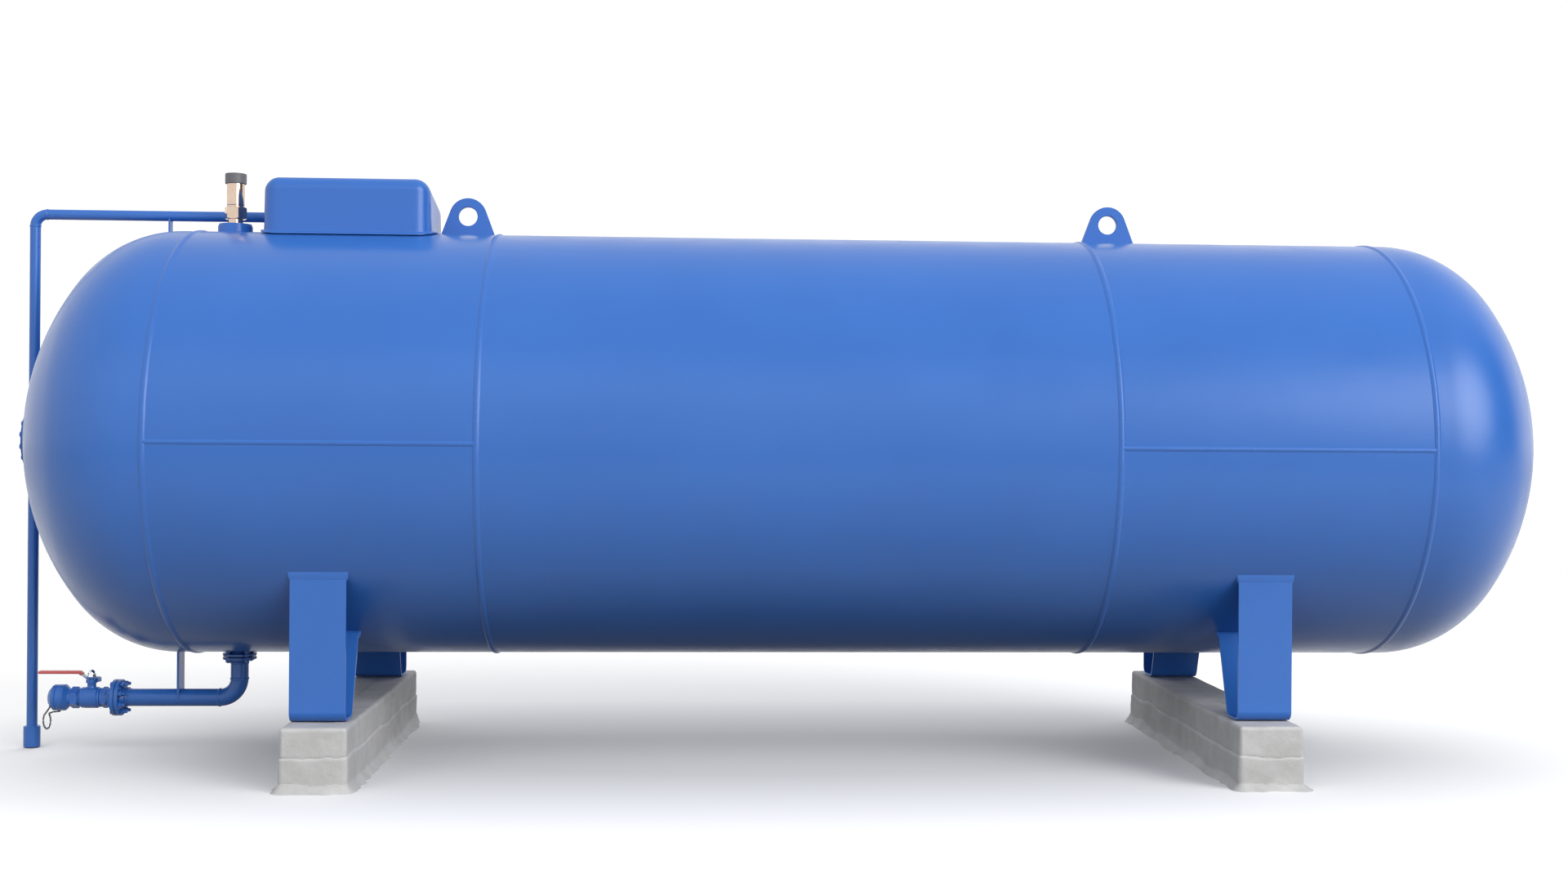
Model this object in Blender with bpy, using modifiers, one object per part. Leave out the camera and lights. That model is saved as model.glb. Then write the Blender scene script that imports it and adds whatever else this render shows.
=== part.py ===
"""Horizontal air receiver: a welded vessel on two concrete sleepers, with its fittings.

The model is laid out about the centre of the tank (tank axis = local X) and hangs on one empty,
which lifts it so that the sleepers stand on Z = 0. Units are metres.
"""
import math

import bmesh
import bpy
from mathutils import Matrix, Vector

GAP = 0.0003                 # clearance between pieces that touch
FINE = 0.00001               # merge distance

# Vessel: three rolled courses and two deep torispherical heads
TANK_R = 0.625
WALL = 0.008
SEAM_X = 1.7476              # head-to-course seams
INNER_SEAM_X = 0.8713        # seams of the middle course
BEAD_HEIGHT = 0.0035
BEAD_HALF = 0.008
STRAIGHT_FLANGE = 0.049
KNUCKLE_R = 0.328
CROWN_R = 0.788
TANK_SIDES = 40
HEAD_TIP = SEAM_X + STRAIGHT_FLANGE + CROWN_R - math.sqrt(
    (CROWN_R - KNUCKLE_R) ** 2 - (TANK_R - KNUCKLE_R) ** 2)

# Supports
FLOOR_Z = -0.935
SLEEPER_TOP = -0.7603
SLEEPER_X = 1.300
LEG_X = 1.307
LEG_WIDTH = 0.152
LEG_PLATE = 0.006
LEG_OUTER_Y = 0.515
LEG_INNER_Y = 0.413
LEG_INNER_TOP_Y = 0.290
LEG_OUTER_TOP_Z = -0.300      # inside the shell, where the plate is trimmed
LEG_FOOT_Z = -0.760
LEG_INNER_RUN = (0.096, 0.222)  # how far the inner plate leans over how much of its height
LEG_BEND_R = 0.028

# Lifting lugs
LUG_X = 0.974
LUG_HALF_BASE = 0.085
LUG_BASE_Z = 0.620
LUG_EYE_Z = 0.6835
LUG_OUTER_R = 0.0555
LUG_EYE_R = 0.0283
LUG_HALF_THICK = 0.009

# Relief valve on the crown
RELIEF_X = -1.6655
RELIEF_HEX_TURN = math.radians(16)

# Hood over the outlet valve and gauge
HOOD_LEFT = -1.555
HOOD_RIGHT = -1.071
HOOD_HALF_Y = 0.145
HOOD_TOP = 0.786
HOOD_FALL = 0.053
HOOD_SHEET = 0.0025
HOOD_CORNER = 0.045
HOOD_LIP = 0.011
HOOD_CLEAR = 0.003
HINGE_Y = 0.166
HINGE_Z = 0.611
HINGE_STATIONS = (-1.44, -1.18)
KNUCKLE_LENGTH = 0.028
PIN_R = 0.003

# Outlet valve, gauge and the pipe down the left end
OUTLET_X = -1.360
GAUGE_X = -1.170
GAUGE_Z = 0.690
LINE_Y = 0.120
LINE_Z = 0.688
LINE_R = 0.0157
LINE_X = -2.2965
LINE_BEND = 0.036
COUPLING_R = 0.0245
COUPLING_TOP = -0.8696
COUPLING_FOOT = -0.932

# Drain line under the tank
DRAIN_X = -1.644
DRAIN_Z = -0.7656
DRAIN_R = 0.0260
DRAIN_WALL = 0.0032
DRAIN_BORE = 0.0225
DRAIN_BEND = 0.057
STEM_X = -2.0785
LEVER_HUB_Z = DRAIN_Z + 0.0595
LEVER_Z = -0.6904

# Inspection opening on the left head
INSPECTION_R = 0.104
INSPECTION_HOLE_R = 0.060
INSPECTION_BOLT_R = 0.0885
INSPECTION_FACE = -2.2450     # where pad and gasket meet
INSPECTION_COVER = -2.2545    # outside of the cover

TANK_CENTRE_X = 0.5 * (COUPLING_R - LINE_X - HEAD_TIP)

COLOURS = {
    "blue_paint": ((0.055, 0.19, 0.60), 0.32, 0.0),
    "concrete": ((0.55, 0.55, 0.54), 0.9, 0.0),
    "nickel_brass": ((0.78, 0.68, 0.58), 0.2, 1.0),
    "dark_plastic": ((0.10, 0.10, 0.11), 0.45, 0.0),
    "red_grip": ((0.72, 0.06, 0.06), 0.5, 0.0),
    "chrome": ((0.85, 0.85, 0.87), 0.08, 1.0),
    "zinc_steel": ((0.55, 0.56, 0.58), 0.35, 1.0),
    "brass": ((0.72, 0.52, 0.22), 0.3, 1.0),
    "gasket_fibre": ((0.16, 0.16, 0.15), 0.8, 0.0),
    "white_dial": ((0.9, 0.9, 0.88), 0.6, 0.0),
    "black_needle": ((0.02, 0.02, 0.02), 0.4, 0.0),
    "clear_glass": ((0.9, 0.95, 0.95), 0.05, 0.0),
}


# ---------------------------------------------------------------- scene and helpers

def clear_scene():
    for obj in list(bpy.data.objects):
        bpy.data.objects.remove(obj, do_unlink=True)


def make_collection(name):
    collection = bpy.data.collections.new(name)
    bpy.context.scene.collection.children.link(collection)
    return collection


def make_material(name):
    colour, roughness, metallic = COLOURS[name]
    material = bpy.data.materials.new(name)
    material.use_nodes = True
    shader = material.node_tree.nodes["Principled BSDF"]
    shader.inputs["Base Color"].default_value = (*colour, 1.0)
    shader.inputs["Roughness"].default_value = roughness
    shader.inputs["Metallic"].default_value = metallic
    return material


clear_scene()
PARTS = make_collection("air_receiver_tank")
CUTTERS = make_collection("cutters")
MATERIALS = {name: make_material(name) for name in COLOURS}
TANK = bpy.data.objects.new("tank_centre", None)
TANK.location = (TANK_CENTRE_X, 0.0, -FLOOR_Z)
PARTS.objects.link(TANK)

TURNS = {"Z": (0.0, 0.0, 0.0), "X": (0.0, math.pi / 2, 0.0), "-X": (0.0, -math.pi / 2, 0.0),
         "Y": (-math.pi / 2, 0.0, 0.0), "-Y": (math.pi / 2, 0.0, 0.0),
         "YZ": (math.pi / 2, 0.0, math.pi / 2)}


def add_object(name, data, material, location=(0.0, 0.0, 0.0), axis="Z", spin=0.0):
    """Puts data in the scene under the tank's empty. With no material it is a cutter."""
    obj = bpy.data.objects.new(name, data)
    obj.parent = TANK
    obj.location = location
    obj.rotation_euler = (*TURNS[axis][:2], TURNS[axis][2] + spin)
    if material is None:
        CUTTERS.objects.link(obj)
        obj.hide_render = True
        obj.display_type = "WIRE"
    else:
        PARTS.objects.link(obj)
        data.materials.append(MATERIALS[material])
    return obj


def mesh_object(name, bm, material, location=(0.0, 0.0, 0.0), axis="Z", spin=0.0):
    mesh = bpy.data.meshes.new(name)
    bm.to_mesh(mesh)
    bm.free()
    return add_object(name, mesh, material, location, axis, spin)


def turned(name, profile, material, location=(0.0, 0.0, 0.0), axis="Z", sides=16):
    """Turns (radius, height) points, outer side first and downwards, about the local Z axis.

    A profile that starts and ends on the axis stays open; any other one closes into a ring.
    """
    bm = bmesh.new()
    verts = [bm.verts.new((radius, 0.0, height)) for radius, height in profile]
    solid = profile[0][0] == 0.0 and profile[-1][0] == 0.0
    ring = verts if solid else verts + verts[:1]
    for first, second in zip(ring, ring[1:]):
        bm.edges.new((first, second))
    obj = mesh_object(name, bm, material, location, axis)
    screw = obj.modifiers.new("Turn", "SCREW")
    screw.steps = sides
    screw.render_steps = sides
    screw.use_merge_vertices = True
    screw.merge_threshold = FINE
    return obj


def ring_profile(inner, outer, low, high):
    return [(outer, high), (outer, low), (inner, low), (inner, high)]


def rod_profile(radius, low, high):
    return [(0.0, high), (radius, high), (radius, low), (0.0, low)]


def block(name, low, high, material):
    """An upright box between two corners."""
    low = Vector(low)
    high = Vector(high)
    bm = bmesh.new()
    bmesh.ops.create_cube(bm, size=1.0, matrix=Matrix.Diagonal((*(high - low), 1.0)))
    return mesh_object(name, bm, material, (low + high) / 2)


def hex_bar(name, across_flats, length, material, centre, axis="Z", spin=0.0):
    radius = across_flats / math.sqrt(3)
    bm = bmesh.new()
    bmesh.ops.create_cone(bm, cap_ends=True, segments=6, radius1=radius, radius2=radius, depth=length)
    return mesh_object(name, bm, material, centre, axis, spin)


def hex_ring(name, count, circle_r, across_flats, length, centre, axis):
    """A circle of loose hexagons, used to join bolt heads or nuts to a flange."""
    radius = across_flats / math.sqrt(3)
    bm = bmesh.new()
    for number in range(count):
        angle = 2 * math.pi * (number + 0.5) / count
        place = Matrix.Rotation(angle, 4, "Z") @ Matrix.Translation((circle_r, 0.0, 0.0))
        bmesh.ops.create_cone(bm, cap_ends=True, segments=6, radius1=radius, radius2=radius,
                              depth=length, matrix=place)
    return mesh_object(name, bm, None, centre, axis)


def strip(name, points, width, thickness, material, location=(0.0, 0.0, 0.0), offset=0.0, along="Y"):
    """A bent flat bar: a path in the plane square to one axis, swept along it and thickened."""
    bm = bmesh.new()
    place = (lambda a, b, c: (a, c, b)) if along == "Y" else (lambda a, b, c: (c, a, b))
    verts = [bm.verts.new(place(first, second, -width / 2)) for first, second in points]
    edges = [bm.edges.new(pair) for pair in zip(verts, verts[1:])]
    swept = bmesh.ops.extrude_edge_only(bm, edges=edges)["geom"]
    moved = [item for item in swept if isinstance(item, bmesh.types.BMVert)]
    bmesh.ops.translate(bm, verts=moved, vec=place(0.0, 0.0, width))
    obj = mesh_object(name, bm, material, location)
    solidify = obj.modifiers.new("Plate", "SOLIDIFY")
    solidify.thickness = thickness
    solidify.offset = offset
    solidify.use_even_offset = True
    return obj


def arc(centre, radius, start, end, steps):
    """Points (a, b) on an arc, angles in degrees."""
    points = []
    for step in range(steps + 1):
        angle = math.radians(start + (end - start) * step / steps)
        points.append((centre[0] + radius * math.cos(angle), centre[1] + radius * math.sin(angle)))
    return points


def bent_path(corners, bend_r, steps=4):
    """A 3-D path through corners, with a round bend at each inner corner."""
    path = [Vector(corners[0])]
    for before, corner, after in zip(corners, corners[1:], corners[2:]):
        corner = Vector(corner)
        back = (Vector(before) - corner).normalized()
        ahead = (Vector(after) - corner).normalized()
        centre = corner + bend_r * (back + ahead)
        for step in range(steps + 1):
            angle = math.pi / 2 * step / steps
            path.append(centre - bend_r * (ahead * math.cos(angle) + back * math.sin(angle)))
    path.append(Vector(corners[-1]))
    return path


def swept_rod(name, path, radius, material, wall=0.0, resolution=2):
    """A round bar along a path, or a tube where a wall is given."""
    curve = bpy.data.curves.new(name, "CURVE")
    curve.dimensions = "3D"
    curve.bevel_depth = radius
    curve.bevel_resolution = resolution
    curve.use_fill_caps = wall == 0.0
    spline = curve.splines.new("POLY")
    spline.points.add(len(path) - 1)
    for point, place in zip(spline.points, path):
        point.co = (*place, 1.0)
    obj = curve_to_mesh(name, curve, material)
    if wall:
        solidify = obj.modifiers.new("Wall", "SOLIDIFY")
        solidify.thickness = wall
        solidify.offset = -1.0
    return obj


def flat_plate(name, outlines, half_thick, material, location, axis):
    """A flat plate from closed 2-D outlines; the second outline is a hole."""
    curve = bpy.data.curves.new(name, "CURVE")
    curve.dimensions = "2D"
    curve.fill_mode = "BOTH"
    curve.extrude = half_thick
    for outline in outlines:
        spline = curve.splines.new("POLY")
        spline.points.add(len(outline) - 1)
        spline.use_cyclic_u = True
        for point, place in zip(spline.points, outline):
            point.co = (*place, 0.0, 1.0)
    return curve_to_mesh(name, curve, material, location, axis)


def curve_to_mesh(name, curve, material, location=(0.0, 0.0, 0.0), axis="Z"):
    guide = bpy.data.objects.new(name + "_curve", curve)
    bpy.context.scene.collection.objects.link(guide)
    guide.location = location
    guide.rotation_euler = TURNS[axis]
    bpy.context.view_layer.update()
    evaluated = guide.evaluated_get(bpy.context.evaluated_depsgraph_get())
    mesh = bpy.data.meshes.new_from_object(evaluated)
    place = guide.matrix_world.copy()
    bpy.data.objects.remove(guide, do_unlink=True)
    bm = bmesh.new()
    bm.from_mesh(mesh)
    bmesh.ops.remove_doubles(bm, verts=bm.verts, dist=FINE)
    bm.to_mesh(mesh)
    bm.free()
    mesh.name = name
    obj = add_object(name, mesh, material)
    obj.matrix_local = place
    return obj


def add_bevel(obj, width, segments):
    bevel = obj.modifiers.new("Edges", "BEVEL")
    bevel.width = width
    bevel.segments = segments
    bevel.limit_method = "ANGLE"


def boolean(obj, other, operation):
    modifier = obj.modifiers.new(operation.title(), "BOOLEAN")
    modifier.operation = operation
    modifier.object = other
    modifier.solver = "EXACT"


def cut(obj, *cutters):
    for cutter in cutters:
        boolean(obj, cutter, "DIFFERENCE")


def join(obj, *others):
    for other in others:
        boolean(obj, other, "UNION")


def drum(name, radius):
    """A cutter as long as the tank, of the given inner (flat-to-flat) radius."""
    vertex_r = radius / math.cos(math.pi / 96)
    return turned(name, rod_profile(vertex_r, -2.3, 2.3), None, axis="X", sides=96)


def drill(name, radius, low, high, location, axis="Z", sides=16):
    return turned(name, rod_profile(radius, low, high), None, location, axis, sides)


SHELL_CUT = drum("shell_cut", TANK_R + GAP)


# ---------------------------------------------------------------- vessel

def head_arcs(radial_shift, steps):
    """(radius, depth past the seam) of a head from its tip to its straight flange."""
    crown_centre = HEAD_TIP - SEAM_X - CROWN_R
    turn = math.degrees(math.asin((TANK_R - KNUCKLE_R) / (CROWN_R - KNUCKLE_R)))
    crown = arc((0.0, crown_centre), CROWN_R - radial_shift, 90, 90 - turn, steps)
    knuckle = arc((TANK_R - KNUCKLE_R, STRAIGHT_FLANGE), KNUCKLE_R - radial_shift, 90 - turn, 0, steps)
    return crown + knuckle[1:]


def build_courses():
    spans = {"shell_course_left": (-SEAM_X, -INNER_SEAM_X),
             "shell_course_middle": (-INNER_SEAM_X, INNER_SEAM_X),
             "shell_course_right": (INNER_SEAM_X, SEAM_X)}
    courses = {}
    for name, (low, high) in spans.items():
        half = (high - low) / 2 - GAP / 2
        inner = TANK_R - WALL
        profile = [(TANK_R + BEAD_HEIGHT, half), (TANK_R, half - BEAD_HALF),
                   (TANK_R, BEAD_HALF - half), (TANK_R + BEAD_HEIGHT, -half),
                   (inner, -half), (inner, half)]
        centre = ((low + high) / 2, 0.0, 0.0)
        courses[name] = turned(name, profile, "blue_paint", centre, "X", TANK_SIDES)
    ports = {"relief_port": (RELIEF_X, 0.60, 0.65, 0.010), "outlet_port": (OUTLET_X, 0.60, 0.65, 0.012),
             "gauge_port": (GAUGE_X, 0.60, 0.65, 0.004),
             "drain_port": (DRAIN_X, -0.65, -0.60, DRAIN_R + 0.0008)}
    for name, (x, low, high, radius) in ports.items():
        cut(courses["shell_course_left"], drill(name, radius, low, high, (x, 0.0, 0.0)))


def build_heads():
    outer = head_arcs(0.0, 3)
    inner = head_arcs(WALL, 3)
    rim = [(TANK_R, BEAD_HALF), (TANK_R + BEAD_HEIGHT, GAP / 2), (TANK_R - WALL, GAP / 2)]
    profile = outer + rim + inner[::-1]
    turned("head_right", profile, "blue_paint", (SEAM_X, 0.0, 0.0), "X", TANK_SIDES)
    left = turned("head_left", profile, "blue_paint", (-SEAM_X, 0.0, 0.0), "-X", TANK_SIDES)
    cut(left, drill("inspection_hole", INSPECTION_HOLE_R, -2.3, -2.1, (0.0, 0.0, 0.0), "X"))


def build_legs():
    lean = math.degrees(math.atan2(LEG_INNER_RUN[1], LEG_INNER_RUN[0]))
    corner = LEG_BEND_R * math.tan(math.radians(90 - lean / 2))
    inner_centre = (LEG_INNER_Y + corner, LEG_FOOT_Z + LEG_BEND_R)
    outer_centre = (LEG_OUTER_Y - LEG_BEND_R, LEG_FOOT_Z + LEG_BEND_R)
    reach = (LEG_INNER_Y - LEG_INNER_TOP_Y) * math.tan(math.radians(lean))
    points = [(LEG_OUTER_Y, LEG_OUTER_TOP_Z)]
    points += arc(outer_centre, LEG_BEND_R, 0, -90, 4)
    points += arc(inner_centre, LEG_BEND_R, -90, -180 + (90 - lean), 3)
    points += [(LEG_INNER_TOP_Y, LEG_FOOT_Z + reach)]
    for side, x in (("left", -LEG_X), ("right", LEG_X)):
        for end, mirror in (("front", -1), ("rear", 1)):
            path = [(mirror * y, z) for y, z in points]
            leg = strip("leg_" + end + "_" + side, path, LEG_WIDTH, LEG_PLATE, "blue_paint",
                        (x, 0.0, 0.0), -mirror, along="X")
            cut(leg, SHELL_CUT)


def build_sleepers():
    """Each block is a cube whose top face is raised level by level.

    A level is (half X, half Y, height over the floor).
    """
    height = SLEEPER_TOP - FLOOR_Z
    levels = [(0.1175, 0.620, 0.0), (0.098, 0.604, 0.018), (0.0935, 0.601, 0.091),
              (0.0900, 0.5985, 0.095), (0.0885, 0.5975, height - 0.006), (0.083, 0.592, height)]
    for side, x in (("left", -SLEEPER_X), ("right", SLEEPER_X)):
        bm = bmesh.new()
        base = Matrix.Diagonal((2 * levels[0][0], 2 * levels[0][1], levels[1][2], 1.0))
        lift = Matrix.Translation((0.0, 0.0, levels[1][2] / 2))
        bmesh.ops.create_cube(bm, size=1.0, matrix=lift @ base)
        top = max(bm.faces, key=lambda face: face.calc_center_median().z)
        for number, (before, after) in enumerate(zip(levels, levels[1:])):
            if number:
                raised = bmesh.ops.extrude_discrete_faces(bm, faces=[top])["faces"]
                top = raised[0]
                bmesh.ops.translate(bm, vec=(0.0, 0.0, after[2] - before[2]), verts=top.verts)
            grow = (after[0] / before[0], after[1] / before[1], 1.0)
            bmesh.ops.scale(bm, vec=grow, verts=top.verts)
        mesh_object("concrete_sleeper_" + side, bm, "concrete", (x, 0.0, FLOOR_Z))


def build_lugs():
    """Straight sides rise from the base corners and touch the round top as tangents."""
    drop = LUG_EYE_Z - LUG_BASE_Z
    touch = math.degrees(math.acos(LUG_OUTER_R / math.hypot(LUG_HALF_BASE, drop))
                         - math.atan2(drop, LUG_HALF_BASE))
    outline = [(LUG_HALF_BASE, LUG_BASE_Z)]
    outline += arc((0.0, LUG_EYE_Z), LUG_OUTER_R, touch, 180 - touch, 12)
    outline += [(-LUG_HALF_BASE, LUG_BASE_Z)]
    eye = arc((0.0, LUG_EYE_Z), LUG_EYE_R, 0, 360, 20)[:-1]
    for side, x in (("left", -LUG_X), ("right", LUG_X)):
        lug = flat_plate("lifting_lug_" + side, [outline, eye], LUG_HALF_THICK, "blue_paint",
                         (x, 0.0, 0.0), "-Y")
        cut(lug, SHELL_CUT)


# ---------------------------------------------------------------- relief valve

def build_relief_valve():
    """Boss, seat with hexagon, spring housing, adjuster, spring, disc and a loose rain cap."""
    place = (RELIEF_X, 0.0, 0.0)
    boss = turned("relief_valve_boss", [
        (0.044, 0.651), (0.046, 0.649), (0.046, 0.644), (0.0505, 0.644), (0.0505, 0.615),
        (0.012, 0.615), (0.012, 0.651)], "blue_paint", place, sides=20)
    cut(boss, SHELL_CUT)
    seat = turned("relief_valve_seat", ring_profile(0.010, 0.022, 0.651 + GAP, 0.700), "nickel_brass",
                  place, sides=24)
    hexagon = hex_bar("seat_hexagon", 0.058, 0.0360, None, (RELIEF_X, 0.0, 0.6872),
                      spin=RELIEF_HEX_TURN)
    join(seat, hexagon)
    cut(seat, drill("seat_bore", 0.010, 0.64, 0.72, place))
    turned("relief_valve_housing", [
        (0.0263, 0.7780), (0.0263, 0.7055), (0.0170, 0.7055), (0.0170, 0.7600),
        (0.0190, 0.7600), (0.0190, 0.7780)], "nickel_brass", place, sides=20)
    turned("relief_valve_adjuster", ring_profile(0.0045, 0.0187, 0.7603, 0.7700), "nickel_brass",
           place, sides=20)
    turned("relief_valve_disc", [
        (0.0, 0.7760), (0.0035, 0.7760), (0.0035, 0.7140), (0.0140, 0.7140), (0.0140, 0.7058),
        (0.0, 0.7058)], "zinc_steel", place, sides=16)
    turned("relief_valve_cap", [
        (0.0, 0.8025), (0.0290, 0.8025), (0.0313, 0.8005), (0.0313, 0.7717), (0.0267, 0.7717),
        (0.0267, 0.7783), (0.0220, 0.7783), (0.0220, 0.7980), (0.0, 0.7980)],
        "dark_plastic", place, sides=20)
    low, high, turns, steps = 0.7160, 0.7585, 4, 7
    coil = []
    for step in range(turns * steps + 1):
        part = step / (turns * steps)
        angle = 2 * math.pi * turns * part
        coil.append((RELIEF_X + 0.0115 * math.cos(angle), 0.0115 * math.sin(angle),
                     low + (high - low) * part))
    swept_rod("relief_valve_spring", coil, 0.0014, "zinc_steel", resolution=1)


# ---------------------------------------------------------------- hood and its hinge

def hood_shell(name, material, shrink):
    """The hood's outer form, less shrink all round: a box open below, its roof falling rearwards."""
    low = Vector((HOOD_LEFT + shrink, shrink - HOOD_HALF_Y, 0.57 if material else 0.50))
    high = Vector((HOOD_RIGHT - shrink, HOOD_HALF_Y - shrink, HOOD_TOP - shrink))
    bm = bmesh.new()
    bmesh.ops.create_cube(bm, size=1.0, matrix=Matrix.Translation((low + high) / 2)
                          @ Matrix.Diagonal((*(high - low), 1.0)))
    for vert in bm.verts:
        if vert.co.z > 0.7 and vert.co.y > 0.0:
            vert.co.z -= HOOD_FALL
    floor = min(bm.faces, key=lambda face: face.calc_center_median().z)
    if material:
        bmesh.ops.delete(bm, geom=[floor], context="FACES_ONLY")
    obj = mesh_object(name, bm, material)
    add_bevel(obj, HOOD_CORNER - shrink, 3)
    return obj


def pipe_slot():
    """Cutter for the arc that the outlet line sweeps through the left wall as the hood opens."""
    from_hinge = Vector((LINE_Y - HINGE_Y, LINE_Z - HINGE_Z))
    start = math.degrees(math.atan2(from_hinge.y, from_hinge.x))
    half = LINE_R + 0.003
    centre = (HINGE_Y, HINGE_Z)
    outline = arc((LINE_Y, LINE_Z), half, start, start - 180, 8)
    outline += arc(centre, from_hinge.length - half, start, 200, 6)[1:]
    outline += arc(centre, from_hinge.length + half, 200, start, 6)
    return flat_plate("pipe_slot", [outline[:-1]], 0.030, None, (HOOD_LEFT, 0.0, 0.0), "YZ")


def build_hood():
    cover = hood_shell("hood_cover", "blue_paint", 0.0)
    solidify = cover.modifiers.new("Sheet", "SOLIDIFY")
    solidify.thickness = HOOD_SHEET
    solidify.offset = -1.0
    clear = drum("hood_clear", TANK_R + HOOD_CLEAR)
    lip = block("hood_lip", (HOOD_LEFT - HOOD_LIP, -HOOD_HALF_Y - HOOD_LIP, 0.58),
                (HOOD_RIGHT + HOOD_LIP, HOOD_HALF_Y + HOOD_LIP, 0.70), None)
    boolean(lip, drum("lip_top", TANK_R + HOOD_CLEAR + 0.005), "INTERSECT")
    cut(lip, hood_shell("hood_inside", None, HOOD_SHEET))
    join(cover, lip)
    cut(cover, clear, pipe_slot())
    for number, x in enumerate(HINGE_STATIONS):
        knuckle = turned(f"hood_knuckle_{number}",
                         ring_profile(0.0033, 0.0065, -KNUCKLE_LENGTH / 2, KNUCKLE_LENGTH / 2),
                         None, (x, HINGE_Y, HINGE_Z), "X", 16)
        tab = block(f"hood_tab_{number}", (x - KNUCKLE_LENGTH / 2, 0.150, 0.6095),
                    (x + KNUCKLE_LENGTH / 2, HINGE_Y - 0.0045, 0.6125), None)
        join(cover, knuckle, tab)
        bracket_x = x + KNUCKLE_LENGTH + GAP * 3
        side = ("left", "right")[number]
        bracket = turned("hood_hinge_bracket_" + side,
                         ring_profile(0.0033, 0.0065, -KNUCKLE_LENGTH / 2, KNUCKLE_LENGTH / 2),
                         "blue_paint", (bracket_x, HINGE_Y, HINGE_Z), "X", 16)
        foot = block(f"bracket_foot_{number}", (bracket_x - KNUCKLE_LENGTH / 2, HINGE_Y - 0.002, 0.580),
                     (bracket_x + KNUCKLE_LENGTH / 2, HINGE_Y + 0.020, HINGE_Z - 0.0045), None)
        join(bracket, foot)
        cut(bracket, SHELL_CUT)
    low = HINGE_STATIONS[0] - KNUCKLE_LENGTH
    high = HINGE_STATIONS[1] + 2 * KNUCKLE_LENGTH
    turned("hood_hinge_pin", rod_profile(PIN_R, low, high), "zinc_steel", (0.0, HINGE_Y, HINGE_Z), "X", 16)


# ---------------------------------------------------------------- outlet valve and gauge

def build_outlet_valve():
    place = (OUTLET_X, 0.0, 0.0)
    nozzle = turned("outlet_nozzle", ring_profile(0.012, 0.025, 0.615, 0.6440), "blue_paint", place)
    cut(nozzle, SHELL_CUT)
    body = turned("outlet_valve_body", rod_profile(0.023, 0.6443, 0.7065), "brass", place, sides=24)
    join(body, drill("valve_outlet", 0.0175, 0.0, 0.0440, (OUTLET_X, 0.0, LINE_Z), "Y", 20))
    chamber = turned("valve_chamber", [
        (0.0, 0.7200), (0.0170, 0.7200), (0.0170, 0.6680), (0.0110, 0.6680), (0.0110, 0.6300),
        (0.0, 0.6300)], None, place, sides=20)
    cut(body, chamber, drill("outlet_bore", 0.0115, 0.005, 0.060, (OUTLET_X, 0.0, LINE_Z), "Y"))
    bonnet = hex_bar("outlet_valve_bonnet", 0.044, 0.0120, "brass", (OUTLET_X, 0.0, 0.7128))
    cut(bonnet, drill("bonnet_bore", 0.0053, 0.69, 0.73, place))
    turned("outlet_valve_disc", rod_profile(0.0135, 0.6683, 0.6740), "brass", place, sides=16)
    turned("outlet_valve_stem", rod_profile(0.0050, 0.6830, 0.7395), "zinc_steel", place)
    build_handwheel(place)


def build_handwheel(place):
    """Rim, hub and four spokes made one; the stem passes through the hub."""
    wheel_z = 0.7270
    bm = bmesh.new()
    bmesh.ops.create_cube(bm, size=1.0, matrix=Matrix.Diagonal((0.066, 0.006, 0.004, 1.0)))
    wheel = mesh_object("outlet_valve_handwheel", bm, "red_grip", (OUTLET_X, 0.0, wheel_z))
    cross = block("wheel_cross", (OUTLET_X - 0.003, -0.033, wheel_z - 0.002),
                  (OUTLET_X + 0.003, 0.033, wheel_z + 0.002), None)
    rim_profile = [(0.034 + r, wheel_z + z) for r, z in arc((0.0, 0.0), 0.0035, 90, -210, 5)]
    rim = turned("wheel_rim", rim_profile, None, place, sides=20)
    hub = drill("wheel_hub", 0.009, wheel_z - 0.005, wheel_z + 0.005, place)
    join(wheel, cross, rim, hub)
    cut(wheel, drill("hub_bore", 0.0054, 0.70, 0.76, place))


def build_gauge():
    place = (GAUGE_X, 0.0, GAUGE_Z)
    stem = turned("gauge_cock", [
        (0.0065, 0.6560), (0.0065, 0.6410), (0.0140, 0.6410), (0.0140, 0.6150),
        (0.0030, 0.6150), (0.0030, 0.6560)], "brass", (GAUGE_X, 0.0, 0.0), sides=16)
    cut(stem, SHELL_CUT)
    turned("gauge_case", [
        (0.0325, 0.0160), (0.0325, -0.0120), (0.0, -0.0120), (0.0, -0.0095), (0.0295, -0.0095),
        (0.0295, 0.0160)], "zinc_steel", place, "-Y", 20)
    turned("gauge_dial", rod_profile(0.0290, 0.0030, 0.0042), "white_dial", place, "-Y", 20)
    turned("gauge_glass", rod_profile(0.0290, 0.0125, 0.0145), "clear_glass", place, "-Y", 20)
    hub = turned("gauge_needle", rod_profile(0.0030, 0.0046, 0.0075), "black_needle", place, "-Y", 12)
    pointer = block("needle_pointer", (-0.0230, -0.0008, 0.0052), (0.0080, 0.0008, 0.0062), None)
    pointer.parent = hub
    pointer.location = (-0.0075 * math.cos(math.radians(45)), -0.0075 * math.sin(math.radians(45)), 0.0057)
    pointer.rotation_euler = (0.0, 0.0, math.radians(45))
    join(hub, pointer)


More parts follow.
